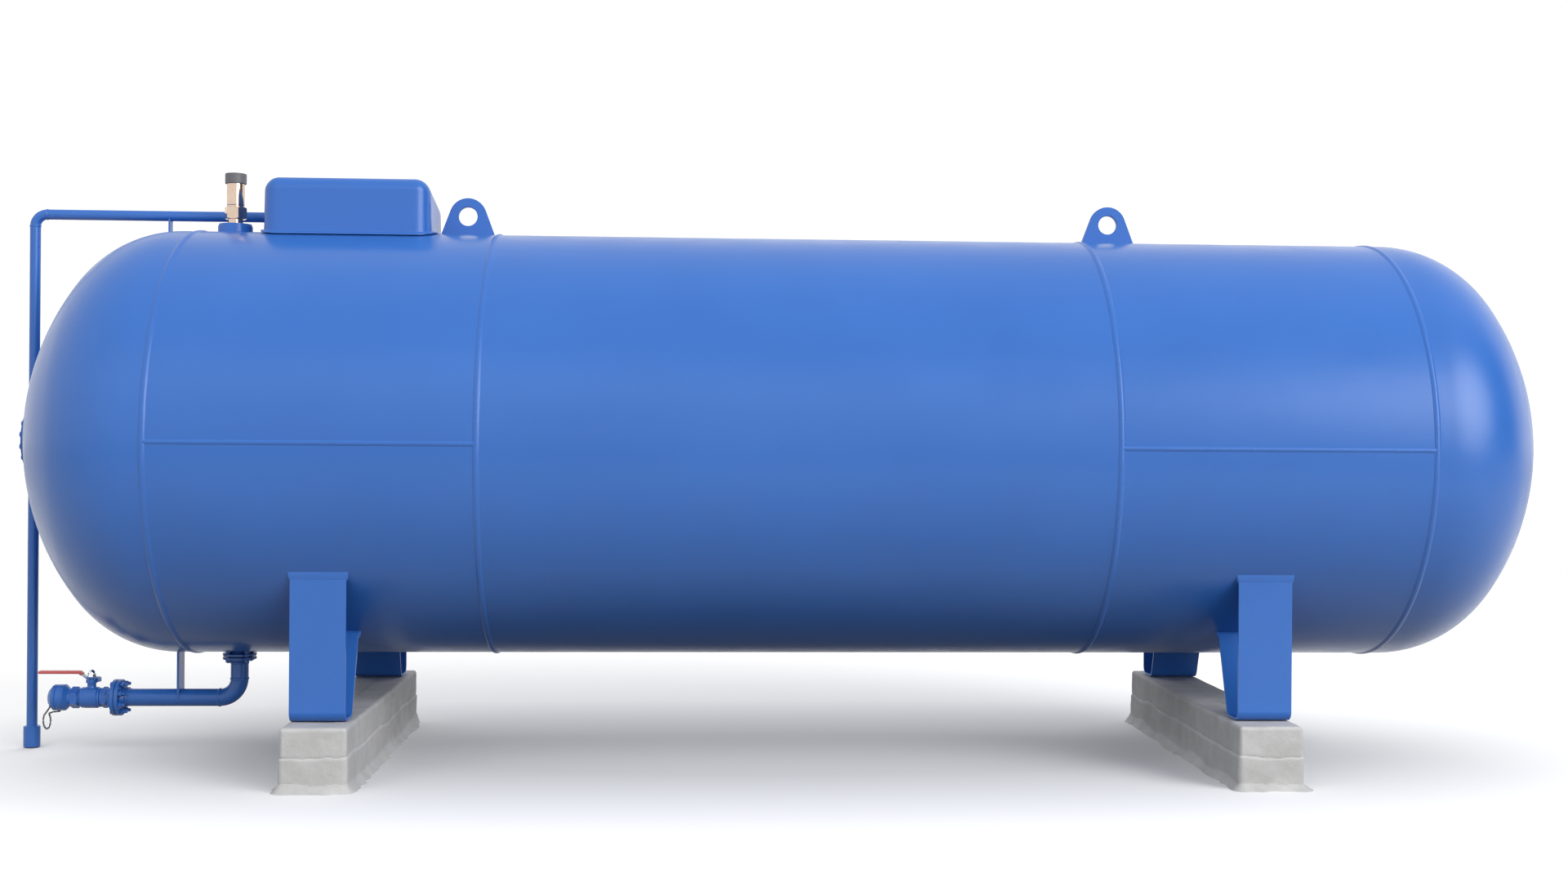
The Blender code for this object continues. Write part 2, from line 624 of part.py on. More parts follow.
def build_outlet_line():
    path = bent_path([(OUTLET_X, 0.0443, LINE_Z), (OUTLET_X, LINE_Y, LINE_Z), (LINE_X, LINE_Y, LINE_Z),
                      (LINE_X, LINE_Y, -0.905)], LINE_BEND)
    swept_rod("outlet_pipe", path, LINE_R, "blue_paint", wall=0.0028)
    turned("outlet_pipe_coupling", ring_profile(LINE_R + GAP, COUPLING_R, COUPLING_FOOT, COUPLING_TOP),
           "blue_paint", (LINE_X, LINE_Y, 0.0), sides=20)
    support = block("pipe_support_upper", (-1.8945, LINE_Y - 0.015, 0.55), (-1.8895, LINE_Y + 0.015, 0.678),
                    "blue_paint")
    cut(support, head_cutter(), line_cutter("line_cut", LINE_R, (0.0, LINE_Y, LINE_Z)))


def head_cutter():
    """A solid of the left head's outside, a gap larger."""
    profile = head_arcs(-GAP * 4, 8)
    return turned("head_cut", profile + [(TANK_R + GAP * 4, -0.2), (0.0, -0.2)], None,
                  (-SEAM_X, 0.0, 0.0), "-X", 64)


def line_cutter(name, radius, centre):
    return turned(name, rod_profile((radius + GAP) / math.cos(math.pi / 24), -2.2, -1.6), None, centre,
                  "X", 24)


# ---------------------------------------------------------------- drain line and valve

def build_drain_line():
    place = (DRAIN_X, 0.0, 0.0)
    turned("drain_nozzle", [
        (DRAIN_R, -0.605), (DRAIN_R, -0.632), (0.049, -0.632), (0.049, -0.6405), (DRAIN_BORE, -0.6405),
        (DRAIN_BORE, -0.605)], "blue_paint", place, sides=24)
    turned("drain_flange_gasket", ring_profile(0.0240, 0.036, -0.6418, -0.6408), "gasket_fibre", place)
    path = bent_path([(DRAIN_X, 0.0, -0.6430), (DRAIN_X, 0.0, DRAIN_Z), (-1.9900, 0.0, DRAIN_Z)],
                     DRAIN_BEND)
    pipe = swept_rod("drain_pipe", path, DRAIN_R, "blue_paint", wall=DRAIN_WALL)
    join(pipe, turned("drain_top_flange", ring_profile(0.0240, 0.049, -0.6500, -0.6421), None, place,
                      sides=24),
         turned("drain_end_flange", ring_profile(0.0240, 0.054, -1.9992, -1.9880), None,
                (0.0, 0.0, DRAIN_Z), "X", 24),
         hex_ring("drain_top_nuts", 4, 0.038, 0.014, 0.010, (DRAIN_X, 0.0, -0.6520), "Z"),
         hex_ring("drain_end_nuts", 8, 0.0430, 0.014, 0.0240, (-1.9790, 0.0, DRAIN_Z), "X"))
    support = block("pipe_support_lower", (-1.8215, -0.028, DRAIN_Z), (-1.8145, 0.028, -0.58), "blue_paint")
    cut(support, head_cutter(), line_cutter("drain_cut", DRAIN_R, (0.0, 0.0, DRAIN_Z)))


def build_drain_valve():
    axis = (0.0, 0.0, DRAIN_Z)
    turned("valve_flange_gasket", ring_profile(0.0240, 0.036, -2.0005, -1.9995), "gasket_fibre", axis, "X")
    end = turned("drain_valve_flange_end", [
        (0.054, -2.0008), (0.054, -2.0120), (0.0325, -2.0120), (0.0325, -2.0410), (0.0290, -2.0502),
        (0.0180, -2.0502), (0.0180, -2.0008)], "blue_paint", axis, "X", 24)
    join(end, hex_ring("valve_bolt_heads", 8, 0.0430, 0.014, 0.007, (-2.0150, 0.0, DRAIN_Z), "X"))
    body = turned("drain_valve_body", [
        (0.0285, -2.0505), (0.0315, -2.0540), (0.0315, -2.1050), (0.0285, -2.1083),
        (0.0243, -2.1083), (0.0243, -2.0505)], "blue_paint", axis, "X", 24)
    stem_foot = (STEM_X, 0.0, DRAIN_Z)
    neck = drill("stem_housing", 0.0129, 0.0260, 0.0440, stem_foot, sides=20)
    gland = drill("stem_gland", 0.0165, 0.0435, 0.0555, stem_foot, sides=20)
    join(body, neck, gland)
    cut(body, drill("stem_bore", 0.0063, 0.0180, 0.0680, stem_foot))
    for side, low in (("right", STEM_X + 0.0153), ("left", STEM_X - 0.0280)):
        turned("ball_seat_" + side, ring_profile(0.0180, 0.0238, low, low + 0.0127), "white_dial", axis, "X")
    build_ball_and_stem()
    hexagon = hex_bar("tail_hexagon", 0.0563, 0.0234, None, (-2.1247, 0.0, DRAIN_Z), "X")
    tail = turned("drain_valve_hose_end", [
        (0.0265, -2.1086), (0.0273, -2.1424), (0.0385, -2.1532), (0.0180, -2.1532), (0.0180, -2.1086)],
        "blue_paint", axis, "X", 24)
    join(tail, hexagon)
    cut(tail, drill("tail_bore", 0.0180, -2.160, -2.10, axis, "X"))
    turned("hose_coupling_ring", ring_profile(0.0265, 0.0388, -2.1763, -2.1535), "blue_paint", axis, "X", 24)
    turned("drain_cap", [
        (0.0, -2.1640), (0.0225, -2.1640), (0.0225, -2.1766), (0.0385, -2.1766), (0.0385, -2.1872),
        (0.0220, -2.2005), (0.0, -2.2005)], "blue_paint", axis, "X", 24)
    turned("drain_cap_seal", ring_profile(0.0228, 0.0258, -2.1740, -2.1680), "gasket_fibre", axis, "X", 24)
    build_lever()
    build_cap_chain()


def build_ball_and_stem():
    bm = bmesh.new()
    bmesh.ops.create_uvsphere(bm, u_segments=16, v_segments=8, radius=0.0205)
    ball = mesh_object("drain_valve_ball", bm, "chrome", (STEM_X, 0.0, DRAIN_Z))
    slot = block("ball_slot", (STEM_X - 0.0078, -0.0033, DRAIN_Z + 0.0160),
                 (STEM_X + 0.0078, 0.0033, DRAIN_Z + 0.0280), None)
    cut(ball, drill("ball_bore", 0.0125, -0.03, 0.03, (STEM_X, 0.0, DRAIN_Z), "X"), slot)
    stem = turned("drain_valve_stem", rod_profile(0.0060, 0.0212, 0.0650), "zinc_steel",
                  (STEM_X, 0.0, DRAIN_Z), sides=16)
    join(stem, block("stem_tongue", (STEM_X - 0.0055, -0.0030, DRAIN_Z + 0.0165),
                     (STEM_X + 0.0055, 0.0030, DRAIN_Z + 0.0220), None))


LEVER_PATH = [(0.0228, LEVER_HUB_Z - 0.0115), (0.0228, LEVER_HUB_Z), (-0.0165, LEVER_HUB_Z),
              (-0.0345, LEVER_Z), (-0.1535, LEVER_Z)]


def build_lever():
    place = (STEM_X, 0.0, 0.0)
    lever = strip("drain_valve_lever", LEVER_PATH, 0.022, 0.0035, "zinc_steel", place)
    cut(lever, drill("lever_hole", 0.0063, -0.73, -0.69, place))
    half_way = Vector(LEVER_PATH[2]).lerp(Vector(LEVER_PATH[3]), 0.55)
    grip = strip("drain_lever_grip", [half_way, LEVER_PATH[3], (-0.1560, LEVER_Z)], 0.026, 0.0090,
                 "red_grip", place)
    add_bevel(grip, 0.0012, 1)
    cut(grip, strip("grip_slot", LEVER_PATH[2:-1] + [(-0.1540, LEVER_Z)], 0.0226, 0.0041, None, place))
    turned("drain_lever_nut", [
        (0.0, 0.0242), (0.0060, 0.0230), (0.0100, 0.0190), (0.0118, 0.0135), (0.0118, 0.0022),
        (0.0063, 0.0022), (0.0063, 0.0065), (0.0, 0.0065)], "chrome", (STEM_X, 0.0, LEVER_HUB_Z), sides=20)


def build_cap_chain():
    """A hanging loop below the cap, from the coupling ring's edge, drawn as one round cord."""
    anchor = Vector((-2.1740, 0.0, DRAIN_Z - 0.0393))
    right = Vector((-2.1965, 0.0, DRAIN_Z - 0.0414))
    left = Vector((-2.2085, 0.0, DRAIN_Z - 0.0414))
    depth = 0.0546
    side_bulge = 0.0115
    steps = 14
    path = [anchor, Vector((anchor.x, 0.0, right.z))]
    for step in range(steps + 1):
        part = step / steps
        sag = depth * (1 - (2 * part - 1) ** 4) ** 0.5
        bulge = side_bulge * math.sin(math.pi * part) ** 0.5 * (1 - 2 * part)
        path.append(right.lerp(left, part) + Vector((bulge, 0.0, -sag)))
    swept_rod("drain_cap_chain", path, 0.0012, "zinc_steel", resolution=1)


# ---------------------------------------------------------------- inspection opening

def crown_height(radius):
    """Distance from the tank's middle to just outside the head's crown, at a radius from the axis."""
    return HEAD_TIP - CROWN_R + math.sqrt(CROWN_R ** 2 - radius ** 2) + GAP


def build_inspection():
    centre = (0.0, 0.0, 0.0)
    turned("inspection_pad", [
        (INSPECTION_R, -INSPECTION_FACE), (INSPECTION_R, crown_height(INSPECTION_R)),
        (INSPECTION_HOLE_R, crown_height(INSPECTION_HOLE_R)), (INSPECTION_HOLE_R, -INSPECTION_FACE)],
           "blue_paint", centre, "-X", 24)
    turned("inspection_gasket", ring_profile(0.061, 0.074, INSPECTION_FACE - 0.0018, INSPECTION_FACE - GAP),
           "gasket_fibre", centre, "X", 24)
    cover = turned("inspection_cover",
                   rod_profile(INSPECTION_R, INSPECTION_COVER, INSPECTION_FACE - 0.0021),
                   "blue_paint", centre, "X", 24)
    join(cover, hex_ring("inspection_bolts", 16, INSPECTION_BOLT_R, 0.0155, 0.0080,
                         (INSPECTION_COVER - 0.0021, 0.0, 0.0), "X"))


build_courses()
build_heads()
build_legs()
build_sleepers()
build_lugs()
build_relief_valve()
build_hood()
build_outlet_valve()
build_gauge()
build_outlet_line()
build_drain_line()
build_drain_valve()
build_inspection()
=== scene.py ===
"""Looks of a horizontal air receiver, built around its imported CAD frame.

Every piece is drawn in world coordinates (metres), so its object stays at the origin and its
procedural finish is in metres too. Places and sizes come from the boxes of the CAD nodes.
"""
import math

import bmesh
import bpy
import numpy as np
from mathutils import Matrix, Vector, noise


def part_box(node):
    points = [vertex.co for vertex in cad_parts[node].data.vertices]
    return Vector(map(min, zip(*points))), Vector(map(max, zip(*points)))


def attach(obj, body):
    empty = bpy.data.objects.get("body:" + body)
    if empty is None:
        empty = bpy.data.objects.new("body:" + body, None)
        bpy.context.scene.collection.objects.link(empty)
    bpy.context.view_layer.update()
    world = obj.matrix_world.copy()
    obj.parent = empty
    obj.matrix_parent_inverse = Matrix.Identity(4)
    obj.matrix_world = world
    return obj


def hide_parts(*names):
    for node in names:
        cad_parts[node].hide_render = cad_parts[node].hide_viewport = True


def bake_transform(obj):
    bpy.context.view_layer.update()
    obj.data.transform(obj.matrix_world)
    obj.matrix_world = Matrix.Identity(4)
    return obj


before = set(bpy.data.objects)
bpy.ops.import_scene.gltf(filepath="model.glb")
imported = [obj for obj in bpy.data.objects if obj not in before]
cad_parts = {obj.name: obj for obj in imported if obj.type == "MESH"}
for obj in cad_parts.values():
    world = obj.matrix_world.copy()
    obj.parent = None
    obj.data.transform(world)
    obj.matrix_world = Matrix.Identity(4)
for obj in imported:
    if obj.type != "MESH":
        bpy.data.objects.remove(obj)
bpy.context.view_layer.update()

MERGE = 1e-6                 # distance at which doubled points are one
SHARP = math.radians(38)     # edges above this angle stay sharp
EDGE = 0.0008                # rounding of machined edges
AXES = {
    "X": ((0.0, 1.0, 0.0), (0.0, 0.0, 1.0), (1.0, 0.0, 0.0)),
    "Y": ((0.0, 0.0, 1.0), (1.0, 0.0, 0.0), (0.0, 1.0, 0.0)),
    "Z": ((1.0, 0.0, 0.0), (0.0, 1.0, 0.0), (0.0, 0.0, 1.0)),
}
X_AXIS, Y_AXIS, Z_AXIS = (np.array(AXES[name][2]) for name in "XYZ")


# ---------------------------------------------------------------- places from the frame

def low(node):
    return np.array(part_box(node)[0])


def high(node):
    return np.array(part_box(node)[1])


def middle(node):
    return (low(node) + high(node)) / 2


def half(node):
    return (high(node) - low(node)) / 2


def span(node, axis):
    """Low and high end of a node, axis being 0, 1 or 2."""
    return low(node)[axis], high(node)[axis]


TANK = middle("shell_course_middle")
BEAD_HEIGHT = 0.0035
TANK_R = half("shell_course_middle")[2] - BEAD_HEIGHT
WALL = 0.008


def on_axis(node, axis):
    """The middle of a node with its coordinate along the axis set to zero."""
    return middle(node) * (1.0 - np.array(AXES[axis][2]))


def shell_drop(y, radius=TANK_R):
    """Height of the shell over the tank's axis at a distance y from its middle plane."""
    return np.sqrt(radius ** 2 - np.square(y))


# ---------------------------------------------------------------- mesh tools

def unit(vectors):
    vectors = np.asarray(vectors, float)
    return vectors / np.linalg.norm(vectors, axis=-1, keepdims=True)


def loft(rings, wrap=False):
    """Quads between closed rings of equal point counts. Open ends are capped."""
    rings = np.asarray(rings, float)
    count, around = rings.shape[:2]
    here = np.arange(count * around).reshape(count, around)
    beside = np.roll(here, -1, axis=1)
    above = np.roll(here, -1, axis=0)
    corner = np.roll(beside, -1, axis=0)
    last = count if wrap else count - 1
    quads = np.stack([here[:last], beside[:last], corner[:last], above[:last]], axis=-1)
    faces = quads.reshape(-1, 4).tolist()
    if not wrap:
        faces += [here[0, ::-1].tolist(), here[-1].tolist()]
    return rings.reshape(-1, 3), faces


def softened(points, radius, steps=3, closed=False):
    """An outline or path with its corners rounded, as far as its sides are long enough."""
    points = [np.asarray(point, float) for point in points]
    count = len(points)
    result = []
    for number, corner in enumerate(points):
        if not closed and number in (0, count - 1):
            result.append(corner)
            continue
        back = points[number - 1] - corner
        ahead = points[(number + 1) % count] - corner
        room = 0.48 * min(np.linalg.norm(back), np.linalg.norm(ahead))
        back, ahead = unit(back), unit(ahead)
        half_angle = math.acos(np.clip(back @ ahead, -1.0, 1.0)) / 2
        if half_angle > math.pi / 2 - 0.02 or half_angle < 0.02:
            result.append(corner)
            continue
        reach = min(radius / math.tan(half_angle), room)
        size = reach * math.tan(half_angle)
        centre = corner + unit(back + ahead) * size / math.sin(half_angle)
        start, end = (corner + side * reach - centre for side in (back, ahead))
        turn = math.pi - 2 * half_angle
        for step in range(steps + 1):
            part = step / steps
            mix = start * math.sin((1 - part) * turn) + end * math.sin(part * turn)
            result.append(centre + mix / math.sin(turn))
    return result


def arc(centre, radius, start, end, steps):
    """2-D points on an arc, angles in degrees."""
    angles = np.radians(np.linspace(start, end, steps + 1))
    return [np.array([centre[0] + radius * math.cos(a), centre[1] + radius * math.sin(a)])
            for a in angles]


def ring(radius, height, place, axis, sides, spin=0.0):
    """A circle, or any radius for each angle, square to an axis."""
    u, v, along = (np.array(vector) for vector in AXES[axis])
    angles = np.arange(sides) * 2 * math.pi / sides + spin
    flat = np.outer(np.cos(angles), u) + np.outer(np.sin(angles), v)
    radii = np.broadcast_to(np.asarray(radius, float), (sides,))
    heights = np.broadcast_to(np.asarray(height, float), (sides,))
    return np.asarray(place) + flat * radii[:, None] + heights[:, None] * along


def turned(profile, place, axis="Z", sides=64, wrap=False):
    """A turned shape from (radius, coordinate along the axis). With wrap, the profile is closed."""
    return loft([ring(r, h, place, axis, sides) for r, h in profile], wrap)


def lathe(corners, edge, place, axis="Z", sides=64, steps=3, wrap=True):
    """A turned shape whose profile has its corners rounded by edge."""
    return turned(softened(corners, edge, steps, closed=wrap), place, axis, sides, wrap)


def washer(inner, outer, bottom, top, place, axis="Z", sides=64, edge=EDGE):
    corners = [(outer, bottom), (outer, top), (inner, top), (inner, bottom)]
    return lathe(corners, edge, place, axis, sides)


def disc(radius, bottom, top, place, axis="Z", sides=64, edge=EDGE):
    corners = [(0.0, bottom), (radius, bottom), (radius, top), (0.0, top)]
    return lathe(corners, edge, place, axis, sides, wrap=False)


def hexagon(across, bottom, top, place, axis="Z", bore=0.0, spin=0.0, chamfers=(True, True),
            sides=48):
    """A hexagonal bar or nut whose ends are turned off at 30 degrees."""
    angles = np.arange(sides) * 2 * math.pi / sides
    sixth = math.pi / 3
    reach = across / 2 / np.cos((angles - spin) % sixth - sixth / 2)
    flat = across / 2 * 0.97
    fall = (reach - flat) * math.tan(math.radians(30))
    levels = [(flat, bottom), (reach, bottom + fall)] if chamfers[0] else [(reach, bottom)]
    levels += [(reach, top - fall), (flat, top)] if chamfers[1] else [(reach, top)]
    if bore:
        levels += [(bore, top), (bore, bottom)]
    return loft([ring(r, h, place, axis, sides) for r, h in levels], wrap=bore > 0)


def directions(path, closed):
    """Unit tangents at the points of a path."""
    if closed:
        return unit(np.roll(path, -1, axis=0) - np.roll(path, 1, axis=0))
    return unit(np.gradient(path, axis=0))


def rings_along(path, section, side, closed=False, scale=None):
    """A section of (sideways, outwards) points carried along a path without twisting."""
    path = np.asarray(path, float)
    tangents = directions(path, closed)
    current = Vector(side)
    sides = [np.array(current)]
    for before, after in zip(tangents, tangents[1:]):
        current.rotate(Vector(before).rotation_difference(Vector(after)))
        sides.append(np.array(current))
    sides = np.array(sides)
    outwards = np.cross(tangents, sides)
    section = np.asarray(section, float)
    scale = np.ones(len(path)) if scale is None else np.asarray(scale, float)
    offsets = sides[:, None, :] * section[None, :, :1] + outwards[:, None, :] * section[None, :, 1:]
    return path[:, None, :] + offsets * scale[:, None, None]


def round_section(radius, sides=32):
    angles = np.arange(sides) * 2 * math.pi / sides
    return np.stack([radius * np.cos(angles), radius * np.sin(angles)], axis=1)


def bar_section(width, thickness, edge, shift=0.0, steps=3):
    """A rounded rectangle, moved outwards by shift."""
    w, t = width / 2, thickness / 2
    corners = [(-w, shift - t), (w, shift - t), (w, shift + t), (-w, shift + t)]
    return softened(corners, edge, steps, closed=True)


def tube(path, outer, inner, side, sides=40):
    outside = rings_along(path, round_section(outer, sides), side)
    inside = rings_along(path, round_section(inner, sides), side)
    return loft(np.concatenate([outside, inside[::-1]]), wrap=True)


def rounded_rectangle(half_x, half_y, radius, corner_steps=8, side_steps=8):
    """Outline points, always the same number, and their outward directions."""
    points, outwards = [], []
    quarters = [(1, -1, -90), (1, 1, 0), (-1, 1, 90), (-1, -1, 180)]
    for number, (sx, sy, start) in enumerate(quarters):
        centre = np.array([sx * (half_x - radius), sy * (half_y - radius)])
        for step in range(corner_steps + 1):
            angle = math.radians(start + 90 * step / corner_steps)
            way = np.array([math.cos(angle), math.sin(angle)])
            points.append(centre + radius * way)
            outwards.append(way)
        nx, ny, _ = quarters[(number + 1) % 4]
        following = np.array([nx * (half_x - radius), ny * (half_y - radius)]) + radius * way
        for step in range(1, side_steps):
            points.append(points[-1] + (following - points[-1]) / (side_steps - step + 1))
            outwards.append(way)
    return np.array(points), np.array(outwards)


def resampled(points, step, closed=True):
    """The same line with points at an even spacing close to step."""
    points = np.asarray(points, float)
    if closed:
        points = np.concatenate([points, points[:1]])
    lengths = np.concatenate([[0.0], np.cumsum(np.linalg.norm(np.diff(points, axis=0), axis=1))])
    count = max(8, round(lengths[-1] / step))
    places = np.linspace(0.0, lengths[-1], count + 1)
    if closed:
        places = places[:-1]
    return np.stack([np.interp(places, lengths, points[:, k]) for k in range(3)], axis=1)


RIPPLE_PITCH = 0.0065
RIPPLE_DEPTH = 0.10          # share of a bead's height
BEAD_SINK = 0.0015
BEAD_WAVER = (0.10, 0.06)    # slow change of a bead's height and of its width, as shares


def bead(path, up, width, height, closed=True, ripple=RIPPLE_PITCH, fullness=2.0):
    """A weld bead: a low crowned ridge with crescent ripples, sunk a little into what it joins.

    up is a function that gives the way off the surface at points of the path. A fullness over 2
    makes the crown flatter.
    """
    path = resampled(path, ripple / 4, closed)
    ups = unit(up(path))
    sides = unit(np.cross(directions(path, closed), ups))
    across = np.linspace(-1.0, 1.0, 9)
    crown = 1.0 - np.abs(across) ** fullness
    steps = np.linalg.norm(np.diff(path, axis=0, append=path[:1]), axis=1)
    run = np.concatenate([[0.0], np.cumsum(steps)[:-1]])
    turns = max(1, round(steps.sum() / ripple)) / steps.sum()
    phase = 2 * math.pi * (run[:, None] * turns - 0.5 * crown[None, :])
    wander = np.array([noise.noise(Vector(point) * 17.0) for point in path])[:, None]
    tall = height * crown * (1.0 + RIPPLE_DEPTH * np.cos(phase) + BEAD_WAVER[0] * wander)
    wide = across * width / 2 * (1.0 + BEAD_WAVER[1] * wander)
    top = path[:, None, :] + sides[:, None, :] * wide[..., None] + ups[:, None, :] * tall[..., None]
    foot = [path + sides * wide[:, end, None] - ups * BEAD_SINK for end in (-1, 0)]
    return loft(np.concatenate([top, np.stack(foot, axis=1)], axis=1), wrap=closed)


def away_from(place, axis):
    """A way-off-the-surface function for anything round about an axis through place."""
    along = np.array(AXES[axis][2])

    def up(points):
        offsets = points - np.asarray(place)
        return offsets - np.outer(offsets @ along, along)
    return up


def ring_bead(radius, height, place, axis, width, tall, ripple=RIPPLE_PITCH):
    """A weld bead around a turned or round part."""
    circle = ring(radius, height, place, axis, 96)
    return bead(circle, away_from(place, axis), width, tall, ripple=ripple)


def corner_bead(circle, place, axis, facing, width, tall, ripple):
    """A fillet weld along a circle, between a round part and the face that it stands on."""
    along = np.array(AXES[axis][2]) * facing
    outward = away_from(place, axis)
    return bead(circle, lambda points: unit(outward(points)) + along, width, tall, ripple=ripple)


def branch_bead(radius, place, facing, width, tall, ripple):
    """The weld round an upright branch on top of the shell (facing 1) or under it (-1)."""
    circle = ring(radius, 0.0, place, "Z", 96)
    circle[:, 2] = TANK[2] + facing * shell_drop(circle[:, 1])
    return corner_bead(circle, place, "Z", facing, width, tall, ripple)


# ---------------------------------------------------------------- finishes

def new_finish(slot, sockets):
    material = bpy.data.materials.new(slot + "_finish")
    material.use_nodes = True
    shader = material.node_tree.nodes["Principled BSDF"]
    for name, value in sockets.items():
        shader.inputs[name].default_value = value
    material["slot"] = slot
    return material


def add_node(tree, kind, inputs, **settings):
    """A shader node. Its inputs are constants or other nodes' outputs; settings are its own."""
    node = tree.nodes.new("ShaderNode" + kind)
    for name, value in settings.items():
        setattr(node, name, value)
    for name, value in inputs.items():
        if isinstance(value, bpy.types.NodeSocket):
            tree.links.new(value, node.inputs[name])
        else:
            node.inputs[name].default_value = value
    return node


def noise_field(tree, scale, detail=4.0, stretch=(1.0, 1.0, 1.0), rough=0.55):
    """Noise in metres: scale is the number of blobs in a metre."""
    place = add_node(tree, "TexCoord", {}).outputs["Object"]
    place = add_node(tree, "Mapping", {"Vector": place, "Scale": stretch}).outputs["Vector"]
    inputs = {"Vector": place, "Scale": scale, "Detail": detail, "Roughness": rough}
    return add_node(tree, "TexNoise", inputs).outputs["Fac"]


def cell_field(tree, scale):
    """Distance to the nearest of scattered points, for pores and specks."""
    place = add_node(tree, "TexCoord", {}).outputs["Object"]
    return add_node(tree, "TexVoronoi", {"Vector": place, "Scale": scale}).outputs["Distance"]


def colour_ramp(tree, field, stops):
    """Maps a field to colours: stops are (position, (r, g, b))."""
    ramp = add_node(tree, "ValToRGB", {"Fac": field})
    elements = ramp.color_ramp.elements
    while len(elements) < len(stops):
        elements.new(0.5)
    for element, (position, colour) in zip(elements, stops):
        element.position = position
        element.color = (*colour, 1.0)
    return ramp.outputs["Color"]


def value_range(tree, field, lowest, highest, start=0.3, end=0.7):
    """The field stretched so that start to end becomes lowest to highest."""
    inputs = {"Value": field, "From Min": start, "From Max": end, "To Min": lowest, "To Max": highest}
    return add_node(tree, "MapRange", inputs).outputs["Result"]


def mixed(tree, share, first, second, blend="MIX"):
    """The first colour, giving way to the second by a share."""
    inputs = {"Factor": share, 6: first, 7: second}
    return add_node(tree, "Mix", inputs, data_type="RGBA", blend_type=blend).outputs[2]


def multiply(tree, first, second):
    return mixed(tree, 1.0, first, second, "MULTIPLY")


def bumps(tree, layers):
    """A chain of bumps from (field, height in metres)."""
    inputs = {}
    for field, distance in layers:
        bump = add_node(tree, "Bump", {"Distance": distance, "Height": field, **inputs})
        inputs = {"Normal": bump.outputs["Normal"]}
    return inputs["Normal"]


def feed(material, **outputs):
    """Joins node outputs to the shader: Base_Color=..., Roughness=..., Normal=..."""
    tree = material.node_tree
    shader = tree.nodes["Principled BSDF"]
    for name, output in outputs.items():
        tree.links.new(output, shader.inputs[name.replace("_", " ")])
    return material


def grey(value):
    return (value, value, value)


def paint_finish():
    """Semi-gloss blue enamel: orange peel, slow waves of the rolled plate, faint clouding."""
    material = new_finish("blue_paint", {"IOR": 1.5})
    tree = material.node_tree
    clouds = colour_ramp(tree, noise_field(tree, 2.2, 5.0),
                         [(0.30, (0.025, 0.121, 0.430)), (0.70, (0.029, 0.133, 0.462))])
    specks = colour_ramp(tree, noise_field(tree, 420.0, 2.0), [(0.30, grey(0.965)), (0.62, grey(1.0))])
    gloss = value_range(tree, noise_field(tree, 9.0, 1.0), 0.22, 0.27)
    waves = noise_field(tree, 5.0, 2.0, (1.0, 1.6, 1.6))
    peel = noise_field(tree, 240.0, 2.0)
    return feed(material, Base_Color=multiply(tree, clouds, specks), Roughness=gloss,
                Normal=bumps(tree, [(waves, 0.0009), (peel, 0.00002)]))


def concrete_finish():
    """Cast concrete: cement clouding, sand grain, pores and faint damp marks."""
    material = new_finish("concrete", {"Specular IOR Level": 0.3})
    tree = material.node_tree
    clouds = colour_ramp(tree, noise_field(tree, 14.0, 8.0),
                         [(0.28, (0.43, 0.428, 0.425)), (0.55, (0.50, 0.498, 0.495)),
                          (0.78, (0.55, 0.548, 0.545))])
    sand = colour_ramp(tree, noise_field(tree, 700.0, 3.0), [(0.30, grey(0.88)), (0.60, grey(1.0))])
    pores = colour_ramp(tree, cell_field(tree, 110.0), [(0.05, grey(0.62)), (0.13, grey(1.0))])
    colour = multiply(tree, multiply(tree, clouds, sand), pores)
    rough = value_range(tree, noise_field(tree, 30.0), 0.82, 0.96)
    layers = [(noise_field(tree, 38.0, 8.0, rough=0.6), 0.0009), (noise_field(tree, 420.0, 3.0), 0.0004),
              (cell_field(tree, 110.0), 0.0003)]
    return feed(material, Base_Color=colour, Roughness=rough, Normal=bumps(tree, layers))


def metal_finish(slot, dark, light, roughness, stretch=(1.0, 1.0, 1.0), scale=60.0, depth=0.00002):
    """Bare or plated metal with tool marks along the stretched direction."""
    material = new_finish(slot, {"Metallic": 1.0})
    tree = material.node_tree
    tint = colour_ramp(tree, noise_field(tree, scale, 4.0), [(0.3, dark), (0.7, light)])
    gloss = value_range(tree, noise_field(tree, scale * 2.0, 4.0, stretch), *roughness)
    marks = noise_field(tree, scale * 8.0, 3.0, stretch)
    return feed(material, Base_Color=tint, Roughness=gloss, Normal=bumps(tree, [(marks, depth)]))


def plastic_finish(slot, dark, light, roughness, grain=900.0, depth=0.00005, sockets=None):
    """Moulded plastic, rubber or fibre with a fine grain."""
    material = new_finish(slot, sockets or {})
    tree = material.node_tree
    tint = colour_ramp(tree, noise_field(tree, 90.0, 5.0), [(0.3, dark), (0.7, light)])
    gloss = value_range(tree, noise_field(tree, 60.0, 4.0), *roughness)
    skin = noise_field(tree, grain, 3.0)
    return feed(material, Base_Color=tint, Roughness=gloss, Normal=bumps(tree, [(skin, depth)]))


